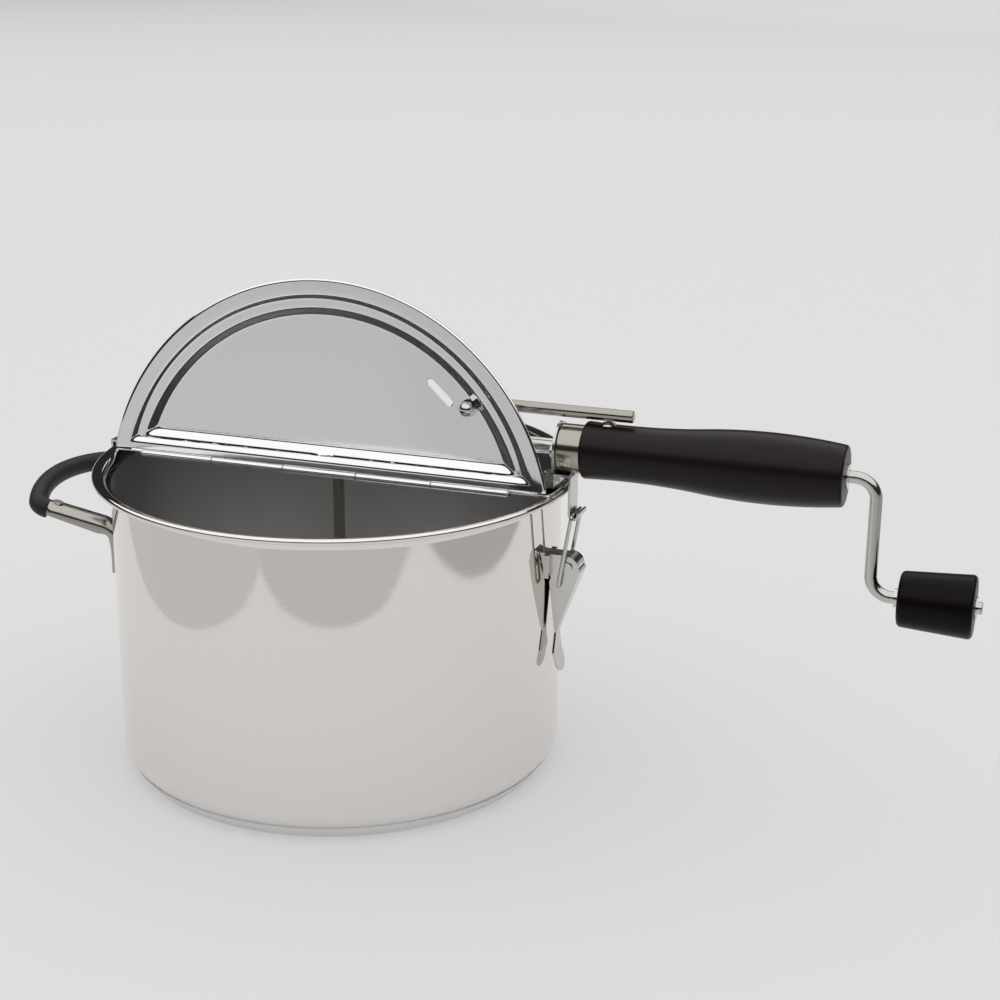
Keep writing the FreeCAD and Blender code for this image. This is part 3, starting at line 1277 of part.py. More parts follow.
def build_all():
    """Make every sub-part, in the order in which the popper is put together."""
    make_pot_body()
    make_base_disc()
    side_bracket("side_bracket_front", 1)
    side_bracket("side_bracket_rear", -1)
    side_rivets("side_bracket_rivets", [
        ("bracket_face + bracket_sheet", "bracket_low + rivet_low"),
        ("bracket_face + bracket_sheet", "bracket_low + rivet_low + rivet_pitch")], False)
    lean = "(bracket_curve + bracket_sheet)"
    along = "(arm_length - grip_rivet_inset)"
    side_rivets("side_grip_rivets", [(
        "bend_centre - %s * sin(arm_slope) + %s * cos(arm_slope)" % (lean, along),
        "bracket_bend + %s * cos(arm_slope) + %s * sin(arm_slope)" % (lean, along))], True)
    grip_piece("side_handle_rod", ["core_radius"], "arm_length - core_inset")
    grip_piece("side_grip", ["grip_radius", "core_radius"], "arm_length + 0.3")
    make_latch_base()
    make_latch_rivets()
    make_latch_pin()
    make_latch_lever()
    make_latch_bail()
    make_rear_lid()
    make_hinge_pin()
    make_lid_hook()
    rivets_down("lid_hook_rivets", [("0 - ridge_radius - 4.4", "0 - hook_half + 4.4"),
                                    ("0 - ridge_radius - 4.4", "hook_half - 4.4")],
                "lid_high + hook_sheet")
    make_handle_bracket()
    rivets_down("bracket_foot_rivets", [("plate_inner - foot_length + 3.4", "4.6 - plate_half"),
                                        ("plate_inner - foot_length + 3.4", "plate_half - 4.6")],
                "ridge_top + plate_sheet")
    make_catch_strap()
    make_handle_ferrule()
    make_wood_handle()
    make_stop_button()
    make_bracket_screws()
    make_handle_bush()
    make_crank_tube()
    make_gear_frame()
    rivets_down("gear_frame_rivets", [(x, y) for x in ("3.2 - frame_inner", "frame_outer - 3.2")
                                      for y in ("4 - frame_half", "frame_half - 4")],
                "panel_top + frame_sheet")
    make_gear_cover()
    make_cover_screws()
    make_shaft_bush()
    make_front_flap()
    make_lever_rod()
    make_lever_nuts()
    make_crank_rod()
    make_gears()
    collar("crank_collar", "collar_start", "frame_outer - 0.4", "hub_radius", "axis_height")
    collar("knob_collar", "knob_start - 2.3", "knob_start - side_fit", "1.5 * rod_radius", "knob_height")
    collar("knob_push_nut", "knob_end + side_fit", "knob_end + side_fit + 1", "1.7 * rod_radius",
           "knob_height")
    make_crank_knob()
    make_stirrer_shaft()
    make_stirring_wire()


NODES = (
    "pot_body", "base_disc", "side_bracket_front", "side_bracket_rear", "side_bracket_rivets",
    "side_grip_rivets", "side_handle_rod", "side_grip", "latch_base", "latch_base_rivets",
    "latch_pivot_pin", "latch_lever", "latch_bail", "rear_lid", "hinge_pin", "lid_hook",
    "lid_hook_rivets", "handle_bracket", "bracket_foot_rivets", "catch_strap", "handle_ferrule",
    "wood_handle", "stop_button", "bracket_screws", "handle_end_bush", "crank_tube", "gear_frame",
    "gear_frame_rivets", "gear_cover", "gear_cover_screws", "stirrer_bush", "front_flap",
    "flap_lever", "lever_domed_nut", "lever_lock_nut", "crank_rod", "drive_gear", "driven_gear",
    "crank_collar", "knob_collar", "knob_push_nut", "crank_knob", "stirrer_shaft", "stirring_wire",
)


def check_and_write():
    """Stop at any failed object; otherwise write one file for each sub-part."""
    failed = [thing.Name for thing in DOC.Objects
              if "Invalid" in thing.State or "Error" in thing.State]
    if failed:
        raise RuntimeError("failed objects: " + ", ".join(failed))
    by_label = {thing.Label: thing for thing in DOC.Objects}
    for name in NODES:
        shape = by_label[name].Shape
        if shape.isNull() or not shape.isValid() or not shape.Solids:
            raise RuntimeError("bad shape: " + name)
    os.makedirs("parts", exist_ok=True)
    for name in NODES:
        shape = by_label[name].Shape
        shape.exportStep("parts/%s.step" % name)
        box = shape.BoundBox
        print("%-20s %d %9.1f  %s" % (name, len(shape.Solids), shape.Volume, " ".join(
            "%.1f" % number for number in (box.XMin, box.XMax, box.YMin, box.YMax, box.ZMin, box.ZMax))))


build_all()
DOC.recompute()
check_and_write()
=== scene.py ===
"""Looks of the stovetop popper: polished sheet steel, dark lacquered wood, black sleeve.

Sizes are millimetres in the part's own frame and become metres in each mesh. The flap is
drawn closed, as its other half lies, and then turned about the hinge to where it rests.
"""
import math

import bpy
import numpy as np
from mathutils import Matrix, Vector
from mathutils.geometry import tessellate_polygon
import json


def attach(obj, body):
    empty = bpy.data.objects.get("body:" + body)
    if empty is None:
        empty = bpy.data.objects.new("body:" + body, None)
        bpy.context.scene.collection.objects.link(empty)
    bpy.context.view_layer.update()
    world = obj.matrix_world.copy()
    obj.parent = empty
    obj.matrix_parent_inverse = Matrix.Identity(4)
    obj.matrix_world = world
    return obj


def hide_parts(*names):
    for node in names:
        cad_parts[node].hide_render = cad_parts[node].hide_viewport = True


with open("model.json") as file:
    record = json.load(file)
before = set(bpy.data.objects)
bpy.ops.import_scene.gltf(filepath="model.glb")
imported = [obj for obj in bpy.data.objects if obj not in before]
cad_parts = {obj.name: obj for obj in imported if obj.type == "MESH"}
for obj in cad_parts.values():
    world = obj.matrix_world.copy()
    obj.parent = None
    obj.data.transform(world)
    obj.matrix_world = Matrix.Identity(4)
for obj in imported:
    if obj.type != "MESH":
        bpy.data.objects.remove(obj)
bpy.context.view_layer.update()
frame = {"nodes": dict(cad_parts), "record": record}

MM = 0.001
CIRCLE = 2 * math.pi
QUARTER = math.pi / 2

POT_RADIUS = 115.0
POT_SHEET = 0.8
POT_FLOOR = 4.0
FOOT_BEND = 10.0
FLARE = 7.5
LIP_TOP = 157.0
ROLL = 1.5
DISC_RADIUS = POT_RADIUS - 6.4
DISC_EDGE = 1.5
# top of the painted shade band on the pot, standing in for the shadow in the groove above the disc
PAINTED_SHADE_TOP = 7.6

HINGE_Y, HINGE_Z = -22.8, 157.5
FLAP_OPEN = math.radians(94.2)
LID_SHEET = 0.8
LID_RADIUS = 120.2
LID_X = 1.6
EDGE_INSET = 2.1
RIDGE_Z, PANEL_Z = 159.0, 161.5
VENT_REACH, VENT_ANGLE, VENT_LENGTH, VENT_WIDTH = 92.5, 48.0, 17.0, 4.0
LEVER_HOLE = (77.0, -62.42)
LEVER_END, LEVER_Z, LEVER_FOOT_Z = 155.6, 177.45, 156.8

HINGE_HALF = 100.0
KNUCKLE_PITCH, KNUCKLE_GAP = 40.0, 0.3
KNUCKLE_RADIUS, KNUCKLE_BORE, KNUCKLE_EASE = 1.9, 1.05, 0.25

BRACKET_TURN = math.radians(16.8)
ARM_SLOPE = math.radians(16.65)
BEND_S, BEND_Z, BEND_R = 126.25, 114.0, 11.0
ARM_LENGTH = 28.5
CORE_DEPTH = 4.6
STRAP_HALF = 6.5
GRIP_RADIUS = 5.0

AXIS_Z = 177.0
ROD_RADIUS = 3.0
ROD_BEND = 10.0
COLLAR_START, COLLAR_RADIUS, COLLAR_SHEET = 119.7, 12.0, 0.8
HANDLE_ROOT = 131.7
HANDLE_END = HANDLE_ROOT + 126.9
BELLY_START = HANDLE_ROOT + 58.5
ROOT_RADIUS, BELLY_RADIUS, END_RADIUS = 14.2, 15.6, 14.8
WOOD_BORE, WOOD_EASE = 3.6, 1.6
ARM_X = HANDLE_END + 14.4
KNOB_Z = 120.0
KNOB_START = ARM_X + 14.0
KNOB_END = KNOB_START + 35.0
KNOB_NEAR, KNOB_FAR, KNOB_BORE, KNOB_EASE = 13.4, 15.2, 3.06, 2.2
ROD_TIP = KNOB_END + 3.4


def arc(centre, radius, start, end, steps=12):
    """Points centre + radius * (cos a, sin a), a from start to end degrees."""
    a = np.radians(np.linspace(start, end, steps + 1))
    return list(zip(centre[0] + radius * np.cos(a), centre[1] + radius * np.sin(a)))


def through(start, end, radius, side, steps):
    """Points of the arc of that radius from start to end, bulging to the given side."""
    start, end = np.array(start, float), np.array(end, float)
    chord = end - start
    half = np.linalg.norm(chord) / 2
    normal = np.array((-chord[1], chord[0])) / (2 * half)
    centre = (start + end) / 2 - side * normal * math.sqrt(radius ** 2 - half ** 2)
    first = math.atan2(*(start - centre)[::-1])
    last = math.atan2(*(end - centre)[::-1])
    turn = (last - first + math.pi) % CIRCLE - math.pi
    return arc(centre, radius, math.degrees(first), math.degrees(first + turn), steps)[1:]


def softened(points, radius, steps=10):
    """A path whose corners are arcs tangent to both runs: tangent length r * tan(turn / 2)."""
    points = [np.array(p, float) for p in points]
    out = [points[:1]]
    for before, corner, after in zip(points, points[1:], points[2:]):
        u = (before - corner) / np.linalg.norm(before - corner)
        v = (after - corner) / np.linalg.norm(after - corner)
        half = math.acos(float(u @ v)) / 2
        length = radius / math.tan(half)
        middle = corner + (u + v) / np.linalg.norm(u + v) * radius / math.sin(half)
        first, last = corner + u * length - middle, corner + v * length - middle
        sweep = math.pi - 2 * half
        t = np.linspace(0, sweep, steps + 1)[:, None]
        out.append(middle + (first * np.sin(sweep - t) + last * np.sin(t)) / math.sin(sweep))
    return np.vstack(out + [points[-1:]])


def new_object(name, points, faces, sharp=35.0):
    """A smooth-shaded mesh from points in millimetres; edges over the sharp angle stay crisp."""
    mesh = bpy.data.meshes.new(name)
    mesh.from_pydata((np.asarray(points, float) * MM).tolist(), [], faces)
    mesh.validate()
    mesh.shade_smooth()
    mesh.set_sharp_from_angle(angle=math.radians(sharp))
    made = bpy.data.objects.new(name, mesh)
    bpy.context.scene.collection.objects.link(made)
    return made


def grid_faces(rows, columns, ring=True, loop=False, first=0):
    """Quads of a grid: row i, column j to row i + 1, column j + 1, its points counted from first.

    A ring joins the last column to the first one, and a loop the last row to the first one.
    """
    i = np.arange(rows if loop else rows - 1)[:, None]
    j = np.arange(columns if ring else columns - 1)[None, :]
    after, beside = (i + 1) % rows, (j + 1) % columns
    quads = [i * columns + j, i * columns + beside, after * columns + beside, after * columns + j]
    return (np.stack(quads, axis=-1).reshape(-1, 4) + first).tolist()


def capped(rows, columns):
    """Quads of a tube of rows of points, with one face over each end."""
    count = rows * columns
    return (grid_faces(rows, columns)
            + [list(range(columns))[::-1], list(range(count - columns, count))])


def lathe(name, profile, segments, along="Z", centre=(0, 0, 0)):
    """A surface of revolution: (r cos a, r sin a, h) about Z, or (h, r cos a, r sin a) about X.

    A profile that starts on the axis also ends there, and any other one closes on itself.
    """
    r, h = np.array(profile, float).T
    a = np.linspace(0, CIRCLE, segments, endpoint=False)
    grid = np.stack([np.outer(r, np.cos(a)), np.outer(r, np.sin(a)), h[:, None] + 0 * a], axis=-1)
    if r[0] > 0:
        points = grid.reshape(-1, 3)
        faces = grid_faces(len(r), segments, loop=True)
    else:
        points = np.vstack([grid[0, :1], grid[1:-1].reshape(-1, 3), grid[-1, :1]])
        j = np.arange(segments)
        k = (j + 1) % segments
        pole = len(points) - 1
        faces = (np.stack([0 * j, k + 1, j + 1], axis=-1).tolist()
                 + grid_faces(len(r) - 2, segments, first=1)
                 + np.stack([j + pole - segments, k + pole - segments, 0 * j + pole], axis=-1).tolist())
    if along == "X":
        points = points[:, [2, 0, 1]]
    return new_object(name, points + np.array(centre), faces)


def tube(name, path, radius, sides, ease):
    """A round rod: centre + radius * (cos a * across + sin a * up) at each point of a path.

    Across is carried along the path without twist, and each end is eased by a quarter circle.
    """
    path = np.array(path, float)
    tangents = np.gradient(path, axis=0)
    tangents /= np.linalg.norm(tangents, axis=1)[:, None]
    across = np.zeros_like(path)
    carried = np.cross(tangents[0], (0.0, 0.0, 1.0))
    for station, tangent in enumerate(tangents):
        carried = carried - tangent * (carried @ tangent)
        carried /= np.linalg.norm(carried)
        across[station] = carried
    up = np.cross(tangents, across)
    a = np.linspace(0, QUARTER, 5)
    inset, shrunk = ease * (1 - np.cos(a)), radius - ease * (1 - np.sin(a))
    centres = np.vstack([path[0] + np.outer(inset, tangents[0]), path[1:-1],
                         path[-1] - np.outer(inset[::-1], tangents[-1])])
    sizes = np.concatenate([shrunk, np.full(len(path) - 2, radius), shrunk[::-1]])[:, None, None]
    repeats = [len(a)] + [1] * (len(path) - 2) + [len(a)]
    across, up = np.repeat(across, repeats, axis=0)[:, None], np.repeat(up, repeats, axis=0)[:, None]
    turn = np.linspace(0, CIRCLE, sides, endpoint=False)[:, None]
    rings = centres[:, None] + sizes * (np.cos(turn) * across + np.sin(turn) * up)
    return new_object(name, rings.reshape(-1, 3), capped(len(rings), sides), 50.0)


def turn_outwards(made):
    """Make every face of a closed mesh point outwards, by the sign of its volume."""
    mesh = made.data
    mesh.calc_loop_triangles()
    a, b, c = np.array([[mesh.vertices[i].co for i in tri.vertices]
                        for tri in mesh.loop_triangles]).transpose(1, 0, 2)
    if np.sum(a * np.cross(b, c)) < 0:
        mesh.flip_normals()


def opened(points):
    """Turn points of the closed flap about the hinge to where it rests."""
    x, y, z = np.asarray(points, float).T
    y, z = y - HINGE_Y, z - HINGE_Z
    c, s = math.cos(FLAP_OPEN), math.sin(FLAP_OPEN)
    return np.column_stack([x, HINGE_Y + y * c + z * s, HINGE_Z - y * s + z * c])


def half_ring(radius, inset, front, blend, count=160):
    """Half a circle closed by a chord, walked by its length from one end of the chord.

    Near its two corners the outline is a weighted mean of itself over blend to each side. Its
    points crowd towards the corners: their share of a run is 0.45 (1 - cos(pi t)) / 2 + 0.55 t.
    """
    chord = HINGE_Y - inset if front else HINGE_Y + inset
    half = math.sqrt(radius ** 2 - chord ** 2)
    first = math.atan2(chord, half)
    last = math.atan2(chord, -half) + (0.0 if front else CIRCLE)
    a = np.linspace(first, last, 361)
    along_chord = np.linspace(-half, half, 121)[1:]
    x = np.concatenate([radius * np.cos(a), along_chord])
    y = np.concatenate([radius * np.sin(a), 0 * along_chord + chord])
    length = np.concatenate([[0], np.cumsum(np.hypot(np.diff(x), np.diff(y)))])
    bend_end, total = length[len(a) - 1], length[-1]
    samples = 2400
    dense = np.linspace(0, total, samples, endpoint=False)
    reach = max(1, int(blend / total * samples))
    weights = (1 - (np.arange(-reach, reach + 1) / (reach + 1)) ** 2) ** 2
    weights /= weights.sum()
    gap = np.minimum(np.abs(dense - bend_end), np.minimum(dense, total - dense))
    near = np.clip(1 - gap / (2.2 * blend), 0, 1)
    near = near * near * (3 - 2 * near)

    def blended(values):
        values = np.interp(dense, length, values)
        padded = np.concatenate([values[-reach:], values, values[:reach]])
        return values + (np.convolve(padded, weights, mode="valid") - values) * near

    places = []
    for start, end, number in ((0, bend_end, count), (bend_end, total, count // 2)):
        t = np.linspace(0, 1, number, endpoint=False)
        places.append(start + (end - start) * (0.45 * (1 - np.cos(np.pi * t)) / 2 + 0.55 * t))
    places = np.concatenate(places)
    return np.column_stack([np.interp(places, dense, blended(x), period=total) + LID_X,
                            np.interp(places, dense, blended(y), period=total)])


def lid_profile(ridge_inset, panel_inset):
    """Rings from the edge inwards: (radius, chord inset, height), each step rising as 3 t^2 - 2 t^3."""
    key = [(LID_RADIUS, EDGE_INSET, HINGE_Z), (113.6, ridge_inset - 0.9, HINGE_Z),
           (109.4, ridge_inset + 2.9, RIDGE_Z), (107.2, panel_inset - 1.1, RIDGE_Z),
           (101.2, panel_inset + 3.4, PANEL_Z), (100.2, panel_inset + 4.4, PANEL_Z)]
    rings = []
    for start, end in zip(key, key[1:]):
        steps = 5 if start[2] == end[2] else 12
        t = np.linspace(0, 1, steps, endpoint=False)[:, None]
        share = np.hstack([t, t, t * t * (3 - 2 * t)])
        rings.append(np.array(start) + (np.array(end) - start) * share)
    return np.vstack(rings + [key[-1:]])


def half_lid(name, front, ridge_inset, panel_inset, holes):
    """One pressed half of the lid: stepped half rings around a level panel with holes in it."""
    rows = []
    for radius, inset, height in lid_profile(ridge_inset, panel_inset):
        blend = 1.2 if radius > 119 else (3.0 if radius > 108 else 5.0)
        outline = half_ring(radius, inset, front, blend)
        rows.append(np.column_stack([outline, np.full(len(outline), height)]))
    width = len(rows[0])
    points = np.vstack(rows)
    faces = grid_faces(len(rows), width)
    loops = [rows[-1][:, :2]]
    numbers = list(range(len(points) - width, len(points)))
    for hole in holes:
        out = hole - hole.mean(axis=0)
        wider = hole + 0.5 * out / np.linalg.norm(out, axis=1)[:, None]
        loops.append(wider)
        numbers += list(range(len(points), len(points) + len(hole)))
        faces += grid_faces(2, len(hole), first=len(points))
        edges = np.vstack([wider, hole])
        points = np.vstack([points, np.column_stack([edges, np.full(len(edges), PANEL_Z)])])
    panel = tessellate_polygon([[Vector((x, y, 0)) for x, y in loop] for loop in loops])
    faces += [[numbers[i] for i in triangle] for triangle in panel]
    a, b, c = points[np.array([face[:3] for face in faces])].transpose(1, 0, 2)
    upward = np.cross(b - a, c - a)[:, 2] > 0
    faces = [face if up else face[::-1] for face, up in zip(faces, upward)]
    made = new_object(name, opened(points) if front else points, faces, 60.0)
    thick = made.modifiers.new("sheet", "SOLIDIFY")
    thick.thickness = LID_SHEET * MM
    thick.offset = 0
    thick.use_even_offset = True
    return made


def round_hole(x, y, radius, count=40):
    """A circle: (x + r cos a, y + r sin a)."""
    a = np.linspace(0, CIRCLE, count, endpoint=False)
    return np.column_stack([x + radius * np.cos(a), y + radius * np.sin(a)])


def slot_hole(reach, angle, length, width):
    """A slot with half circles for ends, its middle at reach along angle, its length across that."""
    a = math.radians(angle)
    aside = np.array((math.cos(a), -math.sin(a)))
    along = np.array((math.sin(a), math.cos(a)))
    t = np.linspace(-QUARTER, QUARTER, 12)[:, None]
    end = along * (length - width) / 2 + width / 2 * (np.cos(t) * along - np.sin(t) * aside)
    return np.vstack([reach * aside + end, reach * aside - end])


def knuckles(numbers, away):
    """Rolled knuckles of one half of the hinge: rings (x, r cos a, r sin a) about the pin.

    A flat tab joins each one to its sheet, which lies away from the pin to that side.
    """
    a = np.linspace(0, CIRCLE, 32, endpoint=False)
    shoulder = KNUCKLE_RADIUS - KNUCKLE_EASE
    r = np.array((KNUCKLE_BORE, shoulder, KNUCKLE_RADIUS, KNUCKLE_RADIUS, shoulder, KNUCKLE_BORE))
    points, faces = np.zeros((0, 3)), []
    for number in numbers:
        start = -HINGE_HALF + KNUCKLE_PITCH * number + KNUCKLE_GAP / 2
        end = start + KNUCKLE_PITCH - KNUCKLE_GAP
        x = np.array((start, start, start + KNUCKLE_EASE, end - KNUCKLE_EASE, end, end))
        roll = np.stack([x[:, None] + 0 * a, HINGE_Y + np.outer(r, np.cos(a)),
                         HINGE_Z + np.outer(r, np.sin(a))], axis=-1).reshape(-1, 3)
        tab = [(x, HINGE_Y + away * y, HINGE_Z + z) for x in (start, end) for y in (1.6, 2.6)
               for z in (-LID_SHEET / 2, LID_SHEET / 2)]
        faces += grid_faces(len(r), len(a), loop=True, first=len(points))
        base = len(points) + len(roll)
        faces += [[base + i for i in face] for face in
                  ((0, 1, 3, 2), (4, 6, 7, 5), (0, 4, 5, 1), (2, 3, 7, 6), (0, 2, 6, 4), (1, 5, 7, 3))]
        points = np.vstack([points, roll, tab])
    return points, faces


def trough_stations():
    """Stations up the wall, round the bend and along the arm of a side bracket.

    Each is (reach, height, inward normal, depth of the side walls, corner radius, half width).
    """
    out = []
    for t in np.linspace(0, 1, 9):
        rim = 0.0 if t < 0.7 else (t - 0.7) / 0.3
        out.append((BEND_S - BEND_R, BEND_Z - 18.0 * (1 - t), (1.0, 0.0), 3.3 + 0.8 * rim,
                    1.6 + 0.4 * rim, STRAP_HALF))
    for t in np.linspace(0, 1, 15)[1:]:
        a = math.pi - t * (QUARTER - ARM_SLOPE)
        ease = t * t * (3 - 2 * t)
        out.append((BEND_S + BEND_R * math.cos(a), BEND_Z + BEND_R * math.sin(a),
                    (-math.cos(a), -math.sin(a)), 4.1 + 3.2 * ease, 2.0 + 2.2 * ease, STRAP_HALF))
    start_reach, start_height = out[-1][:2]
    down = (math.sin(ARM_SLOPE), -math.cos(ARM_SLOPE))
    round_end = 4.0
    for t in np.linspace(0, 1, 25)[1:]:
        run = ARM_LENGTH * t
        past = 1 - min(ARM_LENGTH - run, round_end) / round_end
        narrow = 1.5 * (1 - math.sqrt(max(0.0, 1 - past ** 2)))
        out.append((start_reach + run * math.cos(ARM_SLOPE), start_height + run * math.sin(ARM_SLOPE),
                    down, 7.3 - 1.6 * t, 4.2 - 0.3 * narrow, STRAP_HALF - narrow))
    return out


def trough_section(depth, corner, half, wall=1.2, floor=1.9):
    """A U of (across, depth): up one outer side, round its back and down, then back inside it."""
    inner = max(corner - wall, 0.5)
    a = np.linspace(0, QUARTER, 9)
    outer = np.column_stack([-half + corner * (1 - np.cos(a)), corner * (1 - np.sin(a))])
    a = np.linspace(0, QUARTER, 7)
    inside = np.column_stack([-half + wall + inner * (1 - np.cos(a)), floor + inner * (1 - np.sin(a))])
    outer = np.vstack([[(-half, depth)], outer])
    inside = np.vstack([[(-half + wall, depth)], inside])
    other_side = np.array((-1.0, 1.0))
    return np.vstack([outer, outer[::-1] * other_side, inside * other_side, inside[::-1]])


def side_trough(name, side, node):
    """One bracket of the side handle: its section carried along the stations, turned on the wall."""
    away = np.array((-math.cos(BRACKET_TURN), -side * math.sin(BRACKET_TURN)))
    across = np.array((side * math.sin(BRACKET_TURN), -math.cos(BRACKET_TURN)))
    rows = []
    for reach, height, inward, depth, corner, half in trough_stations():
        u, v = trough_section(depth, corner, half).T
        level = np.outer(reach + v * inward[0], away) + np.outer(u, across)
        rows.append(np.column_stack([level, height + v * inward[1]]))
    made = new_object(name, np.vstack(rows), capped(len(rows), len(rows[0])), 40.0)
    turn_outwards(made)
    return finish(made, TROUGH, "popper", "bracket_steel", node)


def grip_line():
    """The sleeve's centre line: two short straights, two tight corners and a wide sweep."""
    corner, sweep = 6.5, 79.0
    reach = BEND_S - (BEND_R - CORE_DEPTH) * math.sin(ARM_SLOPE)
    height = BEND_Z + (BEND_R - CORE_DEPTH) * math.cos(ARM_SLOPE)
    slope = math.atan(math.tan(ARM_SLOPE) / math.cos(BRACKET_TURN))
    aside = math.sin(BRACKET_TURN) * math.cos(ARM_SLOPE)
    along = math.sqrt(1 - aside ** 2)
    root = reach * math.sin(BRACKET_TURN)
    start, bend = ARM_LENGTH + 0.3, ARM_LENGTH + 0.6
    middle = (along * bend + corner * aside, root + aside * bend - corner * along)
    centre = middle[0] - math.sqrt((sweep - corner) ** 2 - middle[1] ** 2)
    first = math.degrees(math.atan2(along, -aside))
    last = math.degrees(math.atan2(middle[1], middle[0] - centre))
    half = [(along * start, root + aside * start)]
    half += arc(middle, corner, first, last, 14)
    half += arc((centre, 0.0), sweep, last, 0, 22)[1:]
    u, v = np.array(half + [(u, -v) for u, v in half[-2::-1]]).T
    edge = -reach * math.cos(BRACKET_TURN)
    return np.column_stack([edge - u * math.cos(slope), -v, height + u * math.sin(slope)])


def feed(tree, node, inputs):
    """Give inputs of a node their values, and link those whose value is another node's output."""
    for socket, value in inputs.items():
        if isinstance(value, bpy.types.NodeSocket):
            tree.links.new(value, node.inputs[socket])
        else:
            node.inputs[socket].default_value = value


def add(tree, kind, inputs, **options):
    """A new shader node of that kind, with its options set and its inputs fed."""
    node = tree.nodes.new("ShaderNode" + kind)
    for option, value in options.items():
        setattr(node, option, value)
    feed(tree, node, inputs)
    return node


def material(name):
    """A material with a Principled surface; returns it with its tree and its shader."""
    made = bpy.data.materials.new(name)
    made.use_nodes = True
    return made, made.node_tree, made.node_tree.nodes["Principled BSDF"]


def grain_group():
    """Shared fine grain: noise on stretched coordinates gives a roughness and a height."""
    tree = bpy.data.node_groups.new("fine_grain", "ShaderNodeTree")
    for socket, way, kind in (("Stretch", "INPUT", "Vector"), ("Low", "INPUT", "Float"),
                              ("High", "INPUT", "Float"), ("Roughness", "OUTPUT", "Float"),
                              ("Height", "OUTPUT", "Float")):
        tree.interface.new_socket(name=socket, in_out=way, socket_type="NodeSocket" + kind)
    given, result = tree.nodes.new("NodeGroupInput"), tree.nodes.new("NodeGroupOutput")
    place = add(tree, "TexCoord", {}).outputs["Object"]
    scaled = add(tree, "VectorMath", {0: place, 1: given.outputs["Stretch"]}, operation="MULTIPLY")
    fine = add(tree, "TexNoise", {"Vector": scaled.outputs[0], "Scale": 1.0, "Detail": 4.0})
    broad = add(tree, "TexNoise", {"Vector": place, "Scale": 14.0, "Detail": 3.0})
    share = add(tree, "Math", {0: broad.outputs["Fac"], 1: 0.4}, operation="MULTIPLY")
    both = add(tree, "Math", {0: fine.outputs["Fac"], 1: 0.6, 2: share.outputs[0]},
               operation="MULTIPLY_ADD")
    spread = add(tree, "MapRange", {"Value": both.outputs[0], "From Min": 0.3, "From Max": 0.7,
                                    "To Min": given.outputs["Low"], "To Max": given.outputs["High"]})
    feed(tree, result, {"Roughness": spread.outputs[0], "Height": fine.outputs["Fac"]})
    return tree


GRAIN = grain_group()


def bumped(tree, shader, height, strength, depth):
    """Let a height shade the surface as shallow relief."""
    relief = add(tree, "Bump", {"Strength": strength, "Distance": depth, "Height": height})
    feed(tree, shader, {"Normal": relief.outputs["Normal"]})


def grained(tree, shader, low, high, stretch):
    """Let the shared grain drive the roughness from low to high; returns the grain's height."""
    grain = add(tree, "Group", {"Stretch": stretch, "Low": low, "High": high}, node_tree=GRAIN)
    feed(tree, shader, {"Roughness": grain.outputs["Roughness"]})
    return grain.outputs["Height"]


def steel(name, colour, low, high, stretch, bump=0.02):
    """Polished sheet or rod: metal with a grain that follows how it was polished."""
    made, tree, shader = material(name)
    feed(tree, shader, {"Metallic": 1.0, "Base Color": (*colour, 1.0)})
    bumped(tree, shader, grained(tree, shader, low, high, stretch), bump, 0.0004)
    return made


def pot_zones(made):
    """Painted shade: a near-black line on the pot above the disc, standing in for the shadow in the
    groove between them; and duller steel inside the wall's middle.
    """
    tree = made.node_tree
    shader = tree.nodes["Principled BSDF"]
    place = add(tree, "TexCoord", {}).outputs["Object"]
    height = add(tree, "SeparateXYZ", {0: place}).outputs["Z"]
    level = add(tree, "VectorMath", {0: place, 1: (1.0, 1.0, 0.0)}, operation="MULTIPLY")
    reach = add(tree, "VectorMath", {0: level.outputs[0]}, operation="LENGTH").outputs["Value"]
    # painted shade: below this height the pot's steel turns near black, for the shadow in the groove
    # above the disc
    painted_groove_shade = add(tree, "Math", {0: height, 1: PAINTED_SHADE_TOP * MM}, operation="LESS_THAN").outputs[0]
    wall_middle = (POT_RADIUS - POT_SHEET / 2) * MM
    inside = add(tree, "Math", {0: reach, 1: wall_middle}, operation="LESS_THAN").outputs[0]
    polish = shader.inputs["Roughness"].links[0].from_socket
    dull = add(tree, "Mix", {0: inside, 2: polish, 3: 0.38})
    steel_tone = tuple(shader.inputs["Base Color"].default_value)
    # the near-black colour of the painted groove shade, mixed in below that height
    outer = add(tree, "Mix", {0: painted_groove_shade, 6: steel_tone, 7: (0.03, 0.03, 0.03, 1)}, data_type="RGBA")
    whole = add(tree, "Mix", {0: inside, 6: outer.outputs[2], 7: (0.80, 0.79, 0.78, 1)},
                data_type="RGBA")
    feed(tree, shader, {"Roughness": dull.outputs[0], "Base Color": whole.outputs[2]})
    return made


def lacquered_wood(name, share, sheen):
    """Very dark stained wood under lacquer, its grain along X; share scales its tones."""
    made, tree, shader = material(name)
    place = add(tree, "TexCoord", {})
    scaled = add(tree, "Mapping", {"Vector": place.outputs["Object"], "Scale": (9.0, 130.0, 130.0)})
    veins = add(tree, "TexNoise", {"Vector": scaled.outputs[0], "Scale": 1.0, "Detail": 6.0,
                                   "Distortion": 0.6})
    tones = add(tree, "ValToRGB", {"Fac": veins.outputs["Fac"]})
    dark, light = tones.color_ramp.elements
    dark.position, light.position = 0.35, 0.72
    dark.color = (0.0045 * share, 0.0014 * share, 0.0016 * share, 1)
    light.color = (0.0140 * share, 0.0044 * share, 0.0046 * share, 1)
    feed(tree, shader, {"Base Color": tones.outputs["Color"], "Roughness": 0.34,
                        "Specular IOR Level": sheen})
    bumped(tree, shader, veins.outputs["Fac"], 0.12, 0.0003)
    return made


